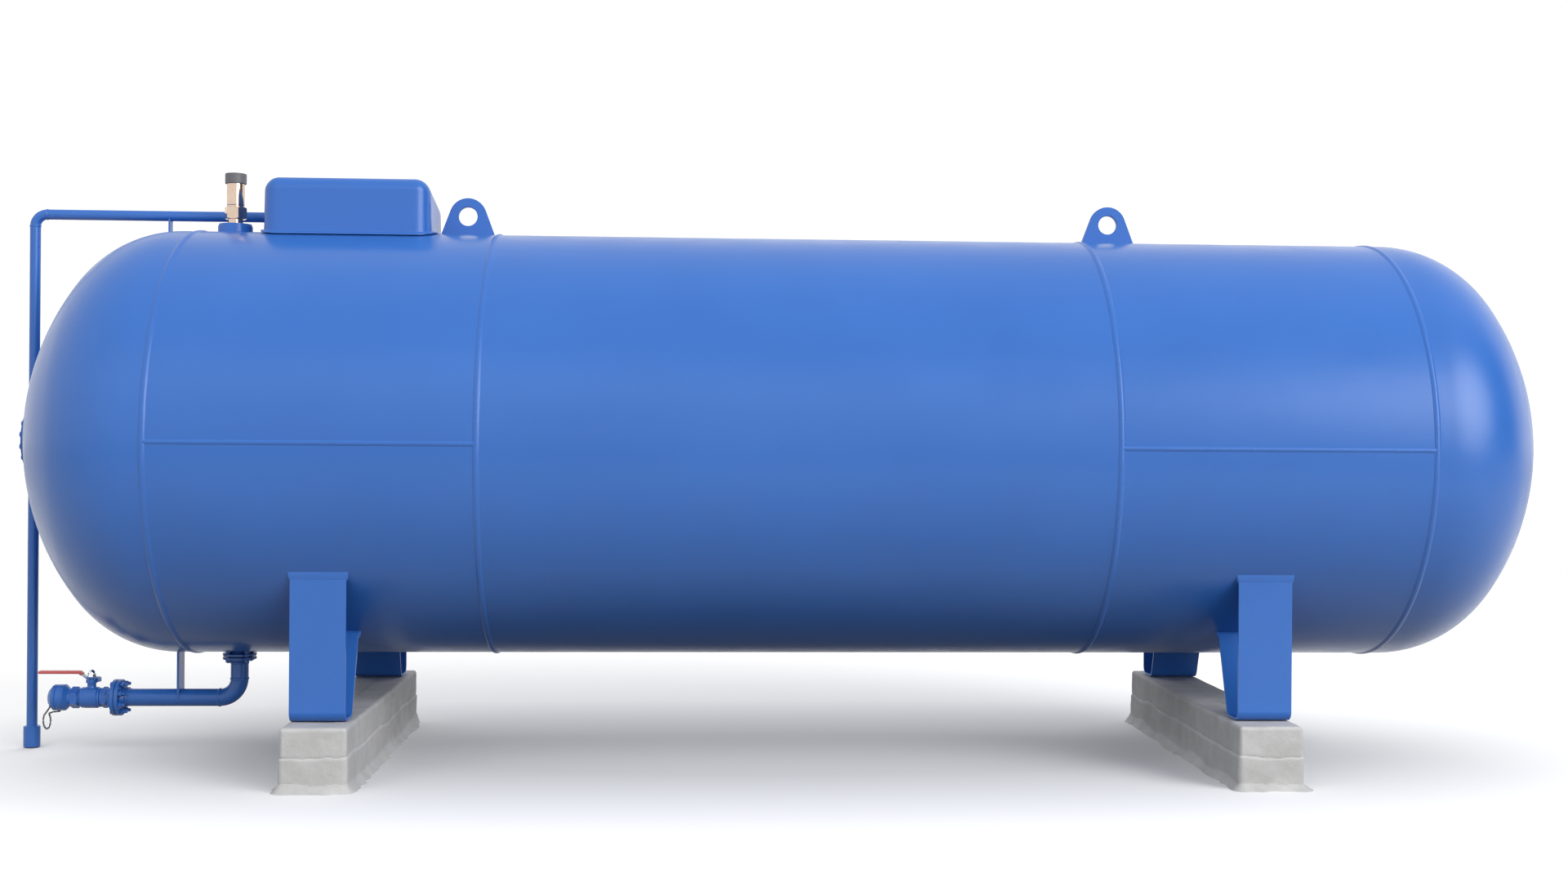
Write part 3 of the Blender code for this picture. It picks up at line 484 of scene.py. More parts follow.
FINISHES = {
    "blue_paint": paint_finish(),
    "concrete": concrete_finish(),
    "nickel_brass": metal_finish("nickel_brass", (0.72, 0.55, 0.44), (0.77, 0.61, 0.49), (0.05, 0.10),
                                 (1.0, 1.0, 9.0), depth=0.000004),
    "dark_plastic": plastic_finish("dark_plastic", (0.116, 0.114, 0.120), (0.128, 0.126, 0.133),
                                   (0.40, 0.48)),
    "red_grip": plastic_finish("red_grip", (0.54, 0.085, 0.085), (0.64, 0.120, 0.115), (0.30, 0.42),
                               sockets={"IOR": 1.48}),
    "chrome": metal_finish("chrome", (0.84, 0.84, 0.86), (0.90, 0.90, 0.92), (0.03, 0.06), depth=0.000003),
    "zinc_steel": metal_finish("zinc_steel", (0.30, 0.33, 0.39), (0.42, 0.45, 0.51), (0.26, 0.38)),
    "brass": metal_finish("brass", (0.62, 0.42, 0.17), (0.74, 0.53, 0.24), (0.22, 0.34)),
    "gasket_fibre": plastic_finish("gasket_fibre", (0.045, 0.047, 0.045), (0.09, 0.09, 0.085),
                                   (0.75, 0.90), 500.0, 0.0002),
    "white_dial": plastic_finish("white_dial", (0.80, 0.80, 0.77), (0.86, 0.86, 0.83), (0.40, 0.50)),
    "black_needle": plastic_finish("black_needle", (0.012, 0.012, 0.012), (0.022, 0.022, 0.022),
                                   (0.30, 0.42)),
    "clear_glass": plastic_finish("clear_glass", (0.90, 0.95, 0.95), (0.94, 0.97, 0.97), (0.01, 0.03),
                                  30.0, 0.00001, {"Transmission Weight": 1.0, "IOR": 1.45}),
}


def add_object(name, data):
    obj = bpy.data.objects.new(name, data)
    bpy.context.scene.collection.objects.link(obj)
    return obj


def closed_mesh(name, points, faces):
    """A mesh without doubled points whose faces all look outwards."""
    mesh = bpy.data.meshes.new(name)
    mesh.from_pydata([tuple(point) for point in points], [], faces)
    bm = bmesh.new()
    bm.from_mesh(mesh)
    bmesh.ops.remove_doubles(bm, verts=bm.verts, dist=MERGE)
    bmesh.ops.dissolve_degenerate(bm, dist=MERGE, edges=bm.edges)
    bmesh.ops.recalc_face_normals(bm, faces=bm.faces)
    bm.to_mesh(mesh)
    bm.free()
    return mesh


def piece(name, shapes, slot="blue_paint", body="vessel", node=None, blend=None):
    """One visible object from one or more closed shapes, riding on a CAD body."""
    points, faces = [], []
    for shape_points, shape_faces in shapes:
        start = len(points)
        points.extend(shape_points)
        faces.extend([index + start for index in face] for face in shape_faces)
    mesh = closed_mesh(name, points, faces)
    obj = add_object(name, mesh)
    mesh.materials.append(FINISHES[slot])
    mesh.shade_smooth()
    mesh.set_sharp_from_angle(angle=SHARP)
    normals = obj.modifiers.new("Flat faces stay flat", "WEIGHTED_NORMAL")
    normals.keep_sharp = True
    normals.weight = 50
    if blend:
        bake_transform(obj)
    else:
        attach(obj, body)
    if node:
        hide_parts(node)
    return obj


# ---------------------------------------------------------------- vessel

TANK_SIDES = 288
PLATE_WAVE = 0.0004          # how far rolled plate strays from a true round
STRAIGHT_FLANGE = 0.049
KNUCKLE_R = 0.328
CROWN_R = 0.788
BEAD_WIDTH = 0.018
TANK_AXIS = TANK * np.array([0.0, 1.0, 1.0])
from_tank = away_from(TANK_AXIS, "X")


def waved(shape, depth):
    """Rolled plate is never quite round: moves points in or out by a slow noise."""
    points, faces = shape
    outward = unit(from_tank(points) + np.array([0.0, 0.0, 1e-9]))
    lift = np.array([noise.noise(Vector(point) * 1.7) for point in points])
    reach = np.clip(np.linalg.norm(from_tank(points), axis=1) / TANK_R, 0.0, 1.0)
    return points + outward * (lift * depth * reach)[:, None], faces


def build_courses():
    for side in ("left", "middle", "right"):
        node = "shell_course_" + side
        start, end = span(node, 0)
        inner = TANK_R - WALL
        along = np.linspace(start, end, round((end - start) / 0.03) + 1)
        profile = [(TANK_R, x) for x in along] + [(inner, end), (inner, start)]
        course = turned(profile, TANK_AXIS, "X", TANK_SIDES, wrap=True)
        piece("course_" + side, [waved(course, PLATE_WAVE)], node=node)


def head_profile(shift):
    """(radius, distance past the seam) from the tip to the end of the straight flange."""
    centre_gap = CROWN_R - KNUCKLE_R
    turn = math.degrees(math.asin((TANK_R - KNUCKLE_R) / centre_gap))
    crown_centre = STRAIGHT_FLANGE - centre_gap * math.cos(math.radians(turn))
    crown = arc((0.0, crown_centre), CROWN_R - shift, 90, 90 - turn, 22)
    knuckle = arc((TANK_R - KNUCKLE_R, STRAIGHT_FLANGE), KNUCKLE_R - shift, 90 - turn, 0, 20)
    return crown + knuckle[1:] + [np.array([TANK_R - shift, 0.0])]


def build_heads():
    for side, facing in (("left", -1), ("right", 1)):
        node = "head_" + side
        seam = span(node, 0)[facing < 0]
        outer = [(r, seam + facing * h) for r, h in head_profile(0.0)]
        inner = [(r, seam + facing * h) for r, h in head_profile(WALL)]
        head = turned(outer + inner[::-1], TANK_AXIS, "X", TANK_SIDES)
        piece("end_" + side, [waved(head, PLATE_WAVE)], node=node)


def build_seams():
    """Girth beads at every joint, and the long seams of the courses."""
    joints = [high("head_left")[0], high("shell_course_left")[0], low("shell_course_right")[0],
              low("head_right")[0]]
    names = ("left_end", "left", "right", "right_end")
    for name, x in zip(names, joints):
        circle = ring(TANK_R, x, TANK_AXIS, "X", TANK_SIDES)
        piece("girth_weld_" + name, [bead(circle, from_tank, BEAD_WIDTH, BEAD_HEIGHT)])
    for side, facing in (("left", -1), ("middle", 1), ("right", -1)):
        ends = span("shell_course_" + side, 0)
        line = [TANK_AXIS + np.array([x, facing * TANK_R, 0.0]) for x in ends]
        shape = bead(line, from_tank, BEAD_WIDTH * 0.8, BEAD_HEIGHT * 0.85, closed=False)
        piece("long_weld_" + side, [shape])


# ---------------------------------------------------------------- supports

LEG_PLATE = 0.006
LEG_BEND = 0.028
LEG_FOOT_DEPTH = 0.102       # from the outer plate to the start of the inner plate's bend
# a ground weld at a plate's top: (how far it stands out, how far below the shell it is)
LEG_FILLET = ((0.0004, 0.0165), (0.0009, 0.0155), (0.0040, 0.0095), (0.0050, 0.0080),
              (0.0055, 0.0065), (0.0058, 0.0005), (0.0058, -0.0040))
FILLET_FORWARD = 0.4         # share of the standing out that there is on the plate's faces


def wobble(position, scale, seed):
    return noise.noise(Vector(position) * scale + Vector((seed, 2.7 * seed, 0.0)))


def plate_weld(x, half_x, y, half_y):
    """A flared weld all round a plate that meets the underside of the shell."""
    rings = []
    for out, below in LEG_FILLET:
        deep = half_y + FILLET_FORWARD * out
        outline, _ = rounded_rectangle(half_x + out, deep, deep * 0.6, 3, 12)
        line = y + outline[:, 1]
        waver = np.array([0.0006 * wobble((x + px, y, out), 60.0, 3.1) for px in outline[:, 0]])
        rise = TANK[2] - shell_drop(line) - below + waver
        rings.append(np.stack([x + outline[:, 0], line, rise], axis=1))
    return loft(rings)


def build_legs():
    for side in ("left", "right"):
        for end, facing in (("front", -1), ("rear", 1)):
            node = f"leg_{end}_{side}"
            inner_y, outer_y = span(node, 1)[::facing]
            foot_y = outer_y - facing * LEG_FOOT_DEPTH
            x = middle(node)[0]
            foot_z = low(node)[2]
            path = [(x, outer_y, TANK[2] - shell_drop(outer_y) + 0.002), (x, outer_y, foot_z),
                    (x, foot_y, foot_z), (x, inner_y, TANK[2] - shell_drop(inner_y) + 0.004)]
            width = 2 * half(node)[0]
            section = bar_section(width, LEG_PLATE, 0.0012, shift=facing * LEG_PLATE / 2)
            plate = loft(rings_along(softened(path, LEG_BEND, 8), section, X_AXIS))
            piece(f"support_{end}_{side}", [plate], node=node)
            welds = [plate_weld(x, width / 2, y - facing * LEG_PLATE / 2 * way, LEG_PLATE / 2)
                     for y, way in ((outer_y, 1), (inner_y, -1))]
            piece(f"support_weld_{end}_{side}", welds)


SLEEPER_HALF = (0.0890, 0.5985)
LEDGE_HEIGHT = 0.092
SKIRT_HEIGHT = 0.026


def sleeper_point(x, y, z, way, inset, height, reach, seed):
    """Moves one point of a plain block to where the rough casting has it."""
    spot = (x, y, z)
    ledge = LEDGE_HEIGHT + 0.010 * wobble((x, y, 0.0), 6.0, seed) + 0.004 * wobble((x, y, 0.0), 31.0, seed)
    step = 1.0 / (1.0 + math.exp((z - ledge) / 0.0009))
    side = max(0.0, 1.0 - inset / 0.010)
    push = step * side * (0.0030 + 0.0022 * wobble(spot, 9.0, seed + 1.0))
    groove = math.exp(-((z - ledge - 0.002) / 0.0022) ** 2)
    push -= 0.0018 * groove * side
    skirt_top = SKIRT_HEIGHT * (0.75 + 0.6 * wobble((x, y, 0.0), 5.0, seed + 2.0))
    skirt_top += 0.007 * wobble((x, y, 0.0), 24.0, seed + 3.0)
    if z < skirt_top:
        ragged = 0.5 + 0.5 * wobble((x, y, 0.0), 7.0, seed + 4.0) + 0.45 * wobble((x, y, 0.0), 26.0, seed)
        flare = (1.0 - z / skirt_top) ** 1.4
        push += min(reach, (0.005 + reach * max(0.0, ragged))) * flare + 0.002
    push += 0.0018 * wobble(spot, 8.0, seed + 5.0) + 0.0007 * wobble(spot, 45.0, seed + 6.0)
    sink = 0.0011 * (1.0 + wobble(spot, 11.0, seed + 7.0)) + 0.0004 * (1.0 + wobble(spot, 60.0, seed))
    drop = sink if z > height - 0.02 else 0.0
    return (x + way[0] * push * side, y + way[1] * push * side, max(0.0, z - drop))


def build_sleepers():
    for number, side in enumerate(("left", "right")):
        node = "concrete_sleeper_" + side
        centre = middle(node)
        height = high(node)[2]
        reach = half(node)[0] - SLEEPER_HALF[0] - 0.004
        seed = 11.3 + 8.1 * number
        levels = [(0.0, z) for z in np.linspace(0.0, height - 0.012, 52)]
        levels += [(0.010 * (1 - math.cos(a)), height - 0.010 * (1 - math.sin(a)))
                   for a in np.radians([10, 30, 50, 70, 90])]
        levels += [(inset, height) for inset in np.linspace(0.016, SLEEPER_HALF[0] - 0.001, 14)]
        rings = []
        for inset, z in levels:
            outline, ways = rounded_rectangle(SLEEPER_HALF[0] - inset, SLEEPER_HALF[1] - inset,
                                              max(0.0005, 0.009 - inset), 5, 60)
            wear = 1.0 + 0.8 * wobble((0.0, z, 0.0), 30.0, seed)
            rings.append([sleeper_point(centre[0] + x, y, z, way, inset * wear, height, reach, seed)
                          for (x, y), way in zip(outline, ways)])
        piece("sleeper_" + side, [loft(rings)], "concrete", node=node)


# ---------------------------------------------------------------- lifting lugs

LUG_R = 0.0555
LUG_EYE_R = 0.0283
LUG_EYE_ABOVE = 0.0585       # eye centre over the crown of the shell
LUG_EDGE = 0.0018


def lug_reach(angles, half_base, drop):
    """How far a lug's outline is from its eye: round on top, straight sides, flat base."""
    touch = math.acos(LUG_R / math.hypot(half_base, drop)) - math.atan2(drop, half_base)
    corner = -math.atan2(drop, half_base)
    mirrored = np.where(np.cos(angles) >= 0, angles, math.pi - angles)
    mirrored = (mirrored + math.pi) % (2 * math.pi) - math.pi
    reach = np.full(len(angles), LUG_R)
    sloping = (mirrored < touch) & (mirrored >= corner)
    reach[sloping] = LUG_R / np.cos(mirrored[sloping] - touch)
    below = mirrored < corner
    reach[below] = drop / -np.sin(mirrored[below])
    return reach


def build_lugs():
    for side in ("left", "right"):
        node = "lifting_lug_" + side
        x = middle(node)[0]
        half_base, thick, _ = half(node)
        eye_z = high(node)[2] - LUG_R
        drop = LUG_EYE_ABOVE + 0.004
        corner = -math.atan2(drop, half_base)
        angles = np.sort(np.concatenate([np.linspace(-math.pi, math.pi, 128, endpoint=False),
                                         [corner, -math.pi - corner]]))
        reach = lug_reach(angles, half_base, drop)
        rim = thick - LUG_EDGE
        profile = [(reach, -rim), (reach, rim), (reach - LUG_EDGE, thick), (LUG_EYE_R + LUG_EDGE, thick),
                   (LUG_EYE_R, rim), (LUG_EYE_R, -rim), (LUG_EYE_R + LUG_EDGE, -thick),
                   (reach - LUG_EDGE, -thick)]
        rings = [np.stack([x + radius * np.cos(angles), np.full(len(angles), y),
                           eye_z + radius * np.sin(angles)], axis=1) for radius, y in profile]
        piece("lug_" + side, [loft(rings, wrap=True)], node=node)
        base, _ = rounded_rectangle(half_base - 0.001, thick, 0.006, 4, 6)
        path = np.stack([x + base[:, 0], base[:, 1], TANK[2] + shell_drop(base[:, 1])], axis=1)
        foot = np.array([x, 0.0, TANK[2] + TANK_R])
        piece("lug_weld_" + side, [corner_bead(path, foot, "Z", 1, 0.011, 0.003, 0.005)])


# ---------------------------------------------------------------- relief valve

RELIEF_SPIN = math.radians(-3)


def build_relief_valve():
    place = on_axis("relief_valve_cap", "Z")
    boss_top, boss_r = high("relief_valve_boss")[2], half("relief_valve_boss")[0]
    shoulder = boss_top - 0.006
    boss = lathe([(0.012, boss_top - 0.03), (boss_r, boss_top - 0.034), (boss_r, shoulder),
                  (boss_r - 0.0025, shoulder), (boss_r - 0.0025, boss_top), (0.012, boss_top)],
                 0.0010, place)
    piece("relief_boss", [boss], node="relief_valve_boss")
    piece("relief_boss_weld", [branch_bead(boss_r, place, 1, 0.007, 0.0016, 0.004)])

    bottom, top = span("relief_valve_seat", 2)
    hex_low, hex_top = top - 0.0395, top - 0.0028
    neck = lathe([(0.010, bottom), (0.0220, bottom), (0.0220, hex_low + 0.002),
                  (0.010, hex_low + 0.002)], EDGE, place)
    nut = hexagon(0.058, hex_low, hex_top, place, bore=0.010, spin=RELIEF_SPIN, sides=120)
    piece("relief_seat", [neck, nut], "nickel_brass", node="relief_valve_seat")

    radius = half("relief_valve_housing")[0]
    bottom, rim = span("relief_valve_housing", 2)
    cap_low, cap_top = span("relief_valve_cap", 2)
    housing = lathe([(radius - 0.0012, bottom - 0.003), (radius - 0.0012, bottom + 0.001),
                     (radius, bottom + 0.003), (radius, rim), (0.0190, rim), (0.0190, cap_low - 0.010),
                     (0.0170, cap_low - 0.010), (0.0170, bottom - 0.003)], 0.0007, place, sides=96)
    piece("relief_housing", [housing], "nickel_brass", node="relief_valve_housing")

    radius = half("relief_valve_cap")[0]
    cap = lathe([(0.0, cap_top), (radius, cap_top), (radius, cap_low), (0.0267, cap_low),
                 (0.0267, cap_low + 0.0083), (0.0220, cap_low + 0.0083), (0.0220, cap_top - 0.007),
                 (0.0, cap_top - 0.007)], 0.0022, place, sides=96, steps=4, wrap=False)
    piece("relief_cap", [cap], "dark_plastic", body="relief_cap", node="relief_valve_cap")


SPRING_WIRE = 0.0014
SPRING_TURNS = 5


def build_relief_spring():
    """The coil over the disc."""
    node = "relief_valve_spring"
    x, y, _ = middle(node)
    bottom, top = span(node, 2)
    radius = half(node)[0] - SPRING_WIRE
    share = np.linspace(0.0, 1.0, 24 * SPRING_TURNS)
    angles = 2 * math.pi * SPRING_TURNS * share
    rise = bottom + SPRING_WIRE + (top - bottom - 2 * SPRING_WIRE) * share
    path = np.stack([x + radius * np.cos(angles), y + radius * np.sin(angles), rise], axis=1)
    coil = loft(rings_along(path, round_section(SPRING_WIRE, 12), Z_AXIS))
    piece("relief_spring", [coil], "zinc_steel", node=node,
          blend=("relief_disc", "vessel", (x, y, bottom), (x, y, top)))


# ---------------------------------------------------------------- hood

HOOD_CORNER = 0.045
HOOD_SHEET = 0.0025
HOOD_FALL = 0.053            # how much lower the roof is at the back
HOOD_TOP = 0.786             # height of the roof's front over the tank's axis
HOOD_LIP = 0.011
HOOD_LIP_THICK = 0.005
HOOD_CLEAR = 0.003
HOOD_HALF = half("hood_cover")[0] - HOOD_LIP, -low("hood_cover")[1] - HOOD_LIP
KNUCKLE_LENGTH = 0.028
KNUCKLE = (0.0033, 0.0065)   # bore and outside
PIPE_R = 0.0157              # of the outlet line, which passes through the hood's left wall


def hood_outline(centre, spread):
    """The hood's outline, spread out or drawn in."""
    corner = max(HOOD_CORNER + spread, 0.0004)
    outline, _ = rounded_rectangle(HOOD_HALF[0] + spread, HOOD_HALF[1] + spread, corner, 10, 24)
    return centre + outline[:, 0], outline[:, 1]


def hood_level(centre, inset, drop, thinner=0.0):
    """One level of the hood: drop is the distance below the sloping roof."""
    x, y = hood_outline(centre, -thinner - inset)
    roof = TANK[2] + HOOD_TOP - HOOD_FALL * np.clip((y / HOOD_HALF[1] + 1) / 2, 0.0, 1.0)
    return np.stack([x, y, roof - (drop + thinner)], axis=1)


def hood_foot(centre, spread, above):
    """One level of the hood that follows the shell at a height above it."""
    x, y = hood_outline(centre, spread)
    return np.stack([x, y, TANK[2] + shell_drop(y, TANK_R + HOOD_CLEAR + above)], axis=1)


def hood_shell(centre):
    """The pressed sheet with its turned-out lip."""
    bend = np.radians(np.linspace(0, 90, 11))
    roof = np.linspace(HOOD_CORNER, HOOD_HALF[1] - 0.002, 9)[1:][::-1]
    outside = [(inset, 0.0) for inset in roof]
    outside += [(HOOD_CORNER * (1 - math.sin(a)), HOOD_CORNER * (1 - math.cos(a))) for a in bend]
    small = HOOD_CORNER - HOOD_SHEET
    inside = [(small * (1 - math.sin(a)), small * (1 - math.cos(a))) for a in bend[::-1]]
    inside += [(inset, 0.0) for inset in roof[::-1]]
    top = HOOD_LIP_THICK
    lip = [(0.0015, top + 0.004), (0.0030, top + 0.0010), (0.0060, top), (HOOD_LIP - 0.0012, top),
           (HOOD_LIP, top - 0.0012), (HOOD_LIP, 0.0012), (HOOD_LIP - 0.0012, 0.0), (0.0, 0.0),
           (-HOOD_SHEET, 0.0)]
    return loft([hood_level(centre, *at) for at in outside] + [hood_foot(centre, *at) for at in lip]
                + [hood_level(centre, *at, HOOD_SHEET) for at in inside])


def build_hood():
    centre = middle("hood_cover")[0]
    shapes = [hood_shell(centre)]
    hinge = middle("hood_hinge_pin")
    for side in ("left", "right"):
        x = middle("hood_hinge_bracket_" + side)[0] - KNUCKLE_LENGTH - 0.0009
        start, end = x - KNUCKLE_LENGTH / 2, x + KNUCKLE_LENGTH / 2
        shapes.append(washer(*KNUCKLE, start, end, hinge * (0, 1, 1), "X", 40))
        tab = [(x, hinge[1] - 0.018, hinge[2] - 0.0006), (x, hinge[1] - 0.004, hinge[2] - 0.0006)]
        shapes.append(loft(rings_along(tab, bar_section(KNUCKLE_LENGTH, 0.003, 0.0005), X_AXIS)))
    hood = piece("hood", shapes, body="hood", node="hood_cover")
    slot = pipe_slot(centre - HOOD_HALF[0])
    opening = hood.modifiers.new("Pipe slot", "BOOLEAN")
    opening.object = slot
    opening.solver = "EXACT"
    while hood.modifiers[0].type != "BOOLEAN":
        hood.modifiers.move(len(hood.modifiers) - 1, 0)
    apply_modifiers(hood)
    bpy.data.objects.remove(slot, do_unlink=True)


def apply_modifiers(obj):
    """Turns the evaluated mesh into the object's own mesh."""
    bpy.context.view_layer.update()
    evaluated = obj.evaluated_get(bpy.context.evaluated_depsgraph_get())
    mesh = bpy.data.meshes.new_from_object(evaluated)
    obj.modifiers.clear()
    obj.data = mesh


def pipe_slot(wall_x):
    """Cutter for the arc that the outlet line sweeps through the hood's left wall."""
    hinge = middle("hood_hinge_pin")
    line_y, line_z = high("outlet_pipe")[1] - PIPE_R, high("outlet_pipe")[2] - PIPE_R
    away = np.array([line_y - hinge[1], line_z - hinge[2]])
    start = math.degrees(math.atan2(away[1], away[0]))
    swing = np.linalg.norm(away)
    gap = PIPE_R + 0.003
    outline = arc((line_y, line_z), gap, start, start - 180, 16)
    outline += arc(hinge[1:], swing - gap, start, 200, 16)[1:]
    outline += arc(hinge[1:], swing + gap, 200, start, 20)[:-1]
    rings = [[(wall_x + dx, y, z) for y, z in outline] for dx in (-0.020, 0.010)]
    cutter = add_object("pipe_slot", closed_mesh("pipe_slot", *loft(rings)))
    cutter.hide_render = True
    return cutter


def build_hinges():
    hinge = middle("hood_hinge_pin")
    axis_place = hinge * (0, 1, 1)
    for side in ("left", "right"):
        node = "hood_hinge_bracket_" + side
        start, end = span(node, 0)
        knuckle = washer(*KNUCKLE, start, end, axis_place, "X", 40)
        x, y = middle(node)[0], hinge[1] + 0.0085
        foot = [(x, y, hinge[2] - 0.0045), (x, y, TANK[2] + shell_drop(y) - 0.002)]
        block = loft(rings_along(foot, bar_section(end - start, 0.021, 0.001), X_AXIS))
        piece("hinge_bracket_" + side, [knuckle, block], node=node)
    pin = disc(half("hood_hinge_pin")[1], *span("hood_hinge_pin", 0), axis_place, "X", 32)
    piece("hinge_pin", [pin], "zinc_steel", node="hood_hinge_pin")


# ---------------------------------------------------------------- outlet line

PIPE_WALL = 0.0028
PIPE_BEND = 0.036


def build_outlet_line():
    box_low, box_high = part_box("outlet_pipe")
    line_y, line_z = box_high.y - PIPE_R, box_high.z - PIPE_R
    start_x, fall_x = box_high.x - PIPE_R, box_low.x + PIPE_R
    corners = [(start_x, box_low.y, line_z), (start_x, line_y, line_z), (fall_x, line_y, line_z),
               (fall_x, line_y, box_low.z)]
    pipe = tube(softened(corners, PIPE_BEND, 12), PIPE_R, PIPE_R - PIPE_WALL, X_AXIS, 48)
    piece("outlet_line", [pipe], node="outlet_pipe")
    bottom, top = span("outlet_pipe_coupling", 2)
    foot = (fall_x, line_y, 0.0)
    welds = [ring_bead(PIPE_R, fall_x + PIPE_BEND, (0.0, line_y, line_z), "X", 0.006, 0.0013, 0.0035),
             ring_bead(PIPE_R, line_z - PIPE_BEND, foot, "Z", 0.006, 0.0013, 0.0035),
             corner_bead(ring(PIPE_R, top, foot, "Z", 96), foot, "Z", 1, 0.0075, 0.00225, 0.004)]
    piece("outlet_line_welds", welds)
    place = on_axis("outlet_pipe_coupling", "Z")
    radius, bore = half("outlet_pipe_coupling")[0], PIPE_R + 0.0002
    coupling = lathe([(bore, top), (radius, top), (radius, bottom), (radius - 0.0060, bottom),
                      (bore, bottom + 0.0035)], 0.0016, place)
    piece("outlet_coupling", [coupling], node="outlet_pipe_coupling")


# ---------------------------------------------------------------- bolting

def bolt_places(place, axis, circle, count, offset=0.5):
    u, v, _ = (np.array(vector) for vector in AXES[axis])
    for number in range(count):
        angle = 2 * math.pi * (number + offset) / count
        yield np.asarray(place) + circle * (math.cos(angle) * u + math.sin(angle) * v), angle


def stud_bolts(place, axis, circle, count, across, faces, nuts, proud):
    """Studs through a pair of flanges, with a washer and a nut at both faces.

    faces, nuts (their heights) and proud (how far a stud stands out) are given low side first.
    """
    shapes = []
    for spot, angle in bolt_places(place, axis, circle, count):
        stud = across * 0.33
        ends = (faces[0] - nuts[0] - proud[0], faces[1] + nuts[1] + proud[1])
        shapes.append(disc(stud, *ends, spot, axis, 20, stud * 0.35))
        for start, nut, sign in zip(faces, nuts, (-1, 1)):
            washer_end = start + sign * 0.0015
            shapes.append(disc(across * 0.56, *sorted((start, washer_end)), spot, axis, 24, 0.0003))
            nut_ends = sorted((washer_end, start + sign * nut))
            shapes.append(hexagon(across, *nut_ends, spot, axis, spin=angle * 1.7))
    return shapes


# ---------------------------------------------------------------- drain line

DRAIN_R = 0.0260
DRAIN_BORE = 0.0225
DRAIN_WALL = 0.0032
DRAIN_BEND = 0.057
PLATE_EDGE = 0.0010
FLANGE_THICK = 0.0112        # of the drain valve's pair of flanges


def build_drain_line():
    place = on_axis("drain_nozzle", "Z")
    bottom, top = span("drain_nozzle", 2)
    radius = half("drain_nozzle")[0]
    face = bottom + 0.0085
    bore = DRAIN_BORE
    nozzle = lathe([(bore, top), (DRAIN_R, top), (DRAIN_R + 0.0005, face + 0.009), (DRAIN_R + 0.0045, face),
                    (radius, face), (radius, bottom + 0.0010), (0.036, bottom + 0.0010), (0.036, bottom),
                    (bore, bottom)], PLATE_EDGE, place)
    piece("drain_branch", [nozzle], node="drain_nozzle")
    piece("drain_branch_weld", [branch_bead(DRAIN_R, place, -1, 0.016, 0.004, 0.005)])

    axis_z = middle("drain_cap")[2]
    pipe_top, end_x = high("drain_pipe")[2], low("drain_pipe")[0]
    x = place[0]
    corners = [(x, 0.0, pipe_top - 0.002), (x, 0.0, axis_z), (end_x + 0.0015, 0.0, axis_z)]
    pipe = tube(softened(corners, DRAIN_BEND, 24), DRAIN_R, DRAIN_R - DRAIN_WALL, Y_AXIS, 64)
    flange_low = pipe_top - 0.0080
    top_flange = lathe([
        (bore, pipe_top), (0.036, pipe_top), (0.036, pipe_top - 0.0010), (radius, pipe_top - 0.0010),
        (radius, flange_low), (DRAIN_R + 0.0045, flange_low), (DRAIN_R + 0.0004, flange_low - 0.009),
        (bore, flange_low - 0.009)], PLATE_EDGE, place)
    along = np.array([0.0, 0.0, axis_z])
    big = half("drain_valve_flange_end")[1]
    inner_face = end_x + FLANGE_THICK
    end_flange = lathe([
        (bore, end_x), (big, end_x), (big, inner_face), (DRAIN_R + 0.0060, inner_face),
        (DRAIN_R + 0.0004, inner_face + 0.012), (bore, inner_face + 0.012)], PLATE_EDGE, along, "X")
    piece("drain_line", [pipe, top_flange, end_flange], node="drain_pipe")
    welds = [ring_bead(DRAIN_R, axis_z + DRAIN_BEND, place, "Z", 0.008, 0.0018, 0.004),
             ring_bead(DRAIN_R, x - DRAIN_BEND, along, "X", 0.008, 0.0018, 0.004),
             ring_bead(DRAIN_R + 0.0002, flange_low - 0.011, place, "Z", 0.007, 0.0015, 0.004),
             ring_bead(DRAIN_R + 0.0002, inner_face + 0.014, along, "X", 0.007, 0.0015, 0.004)]
    piece("drain_line_welds", welds)
    bolts = stud_bolts(place, "Z", 0.038, 4, 0.014, (flange_low, face), (0.0075, 0.0075), (0.0022, 0.0022))
    piece("drain_flange_bolts", bolts)
    valve_face = high("drain_valve_flange_end")[0] - FLANGE_THICK
    bolts = stud_bolts(along, "X", 0.0430, 8, 0.0150, (valve_face, inner_face), (0.0060, 0.0105),
                       (0.0, 0.0085))
    piece("valve_flange_bolts", bolts)


# ---------------------------------------------------------------- drain valve

HEX_UPRIGHT = math.pi / 6    # turns a hexagon about X so that a corner is on top
LEVER_THICK = 0.0035


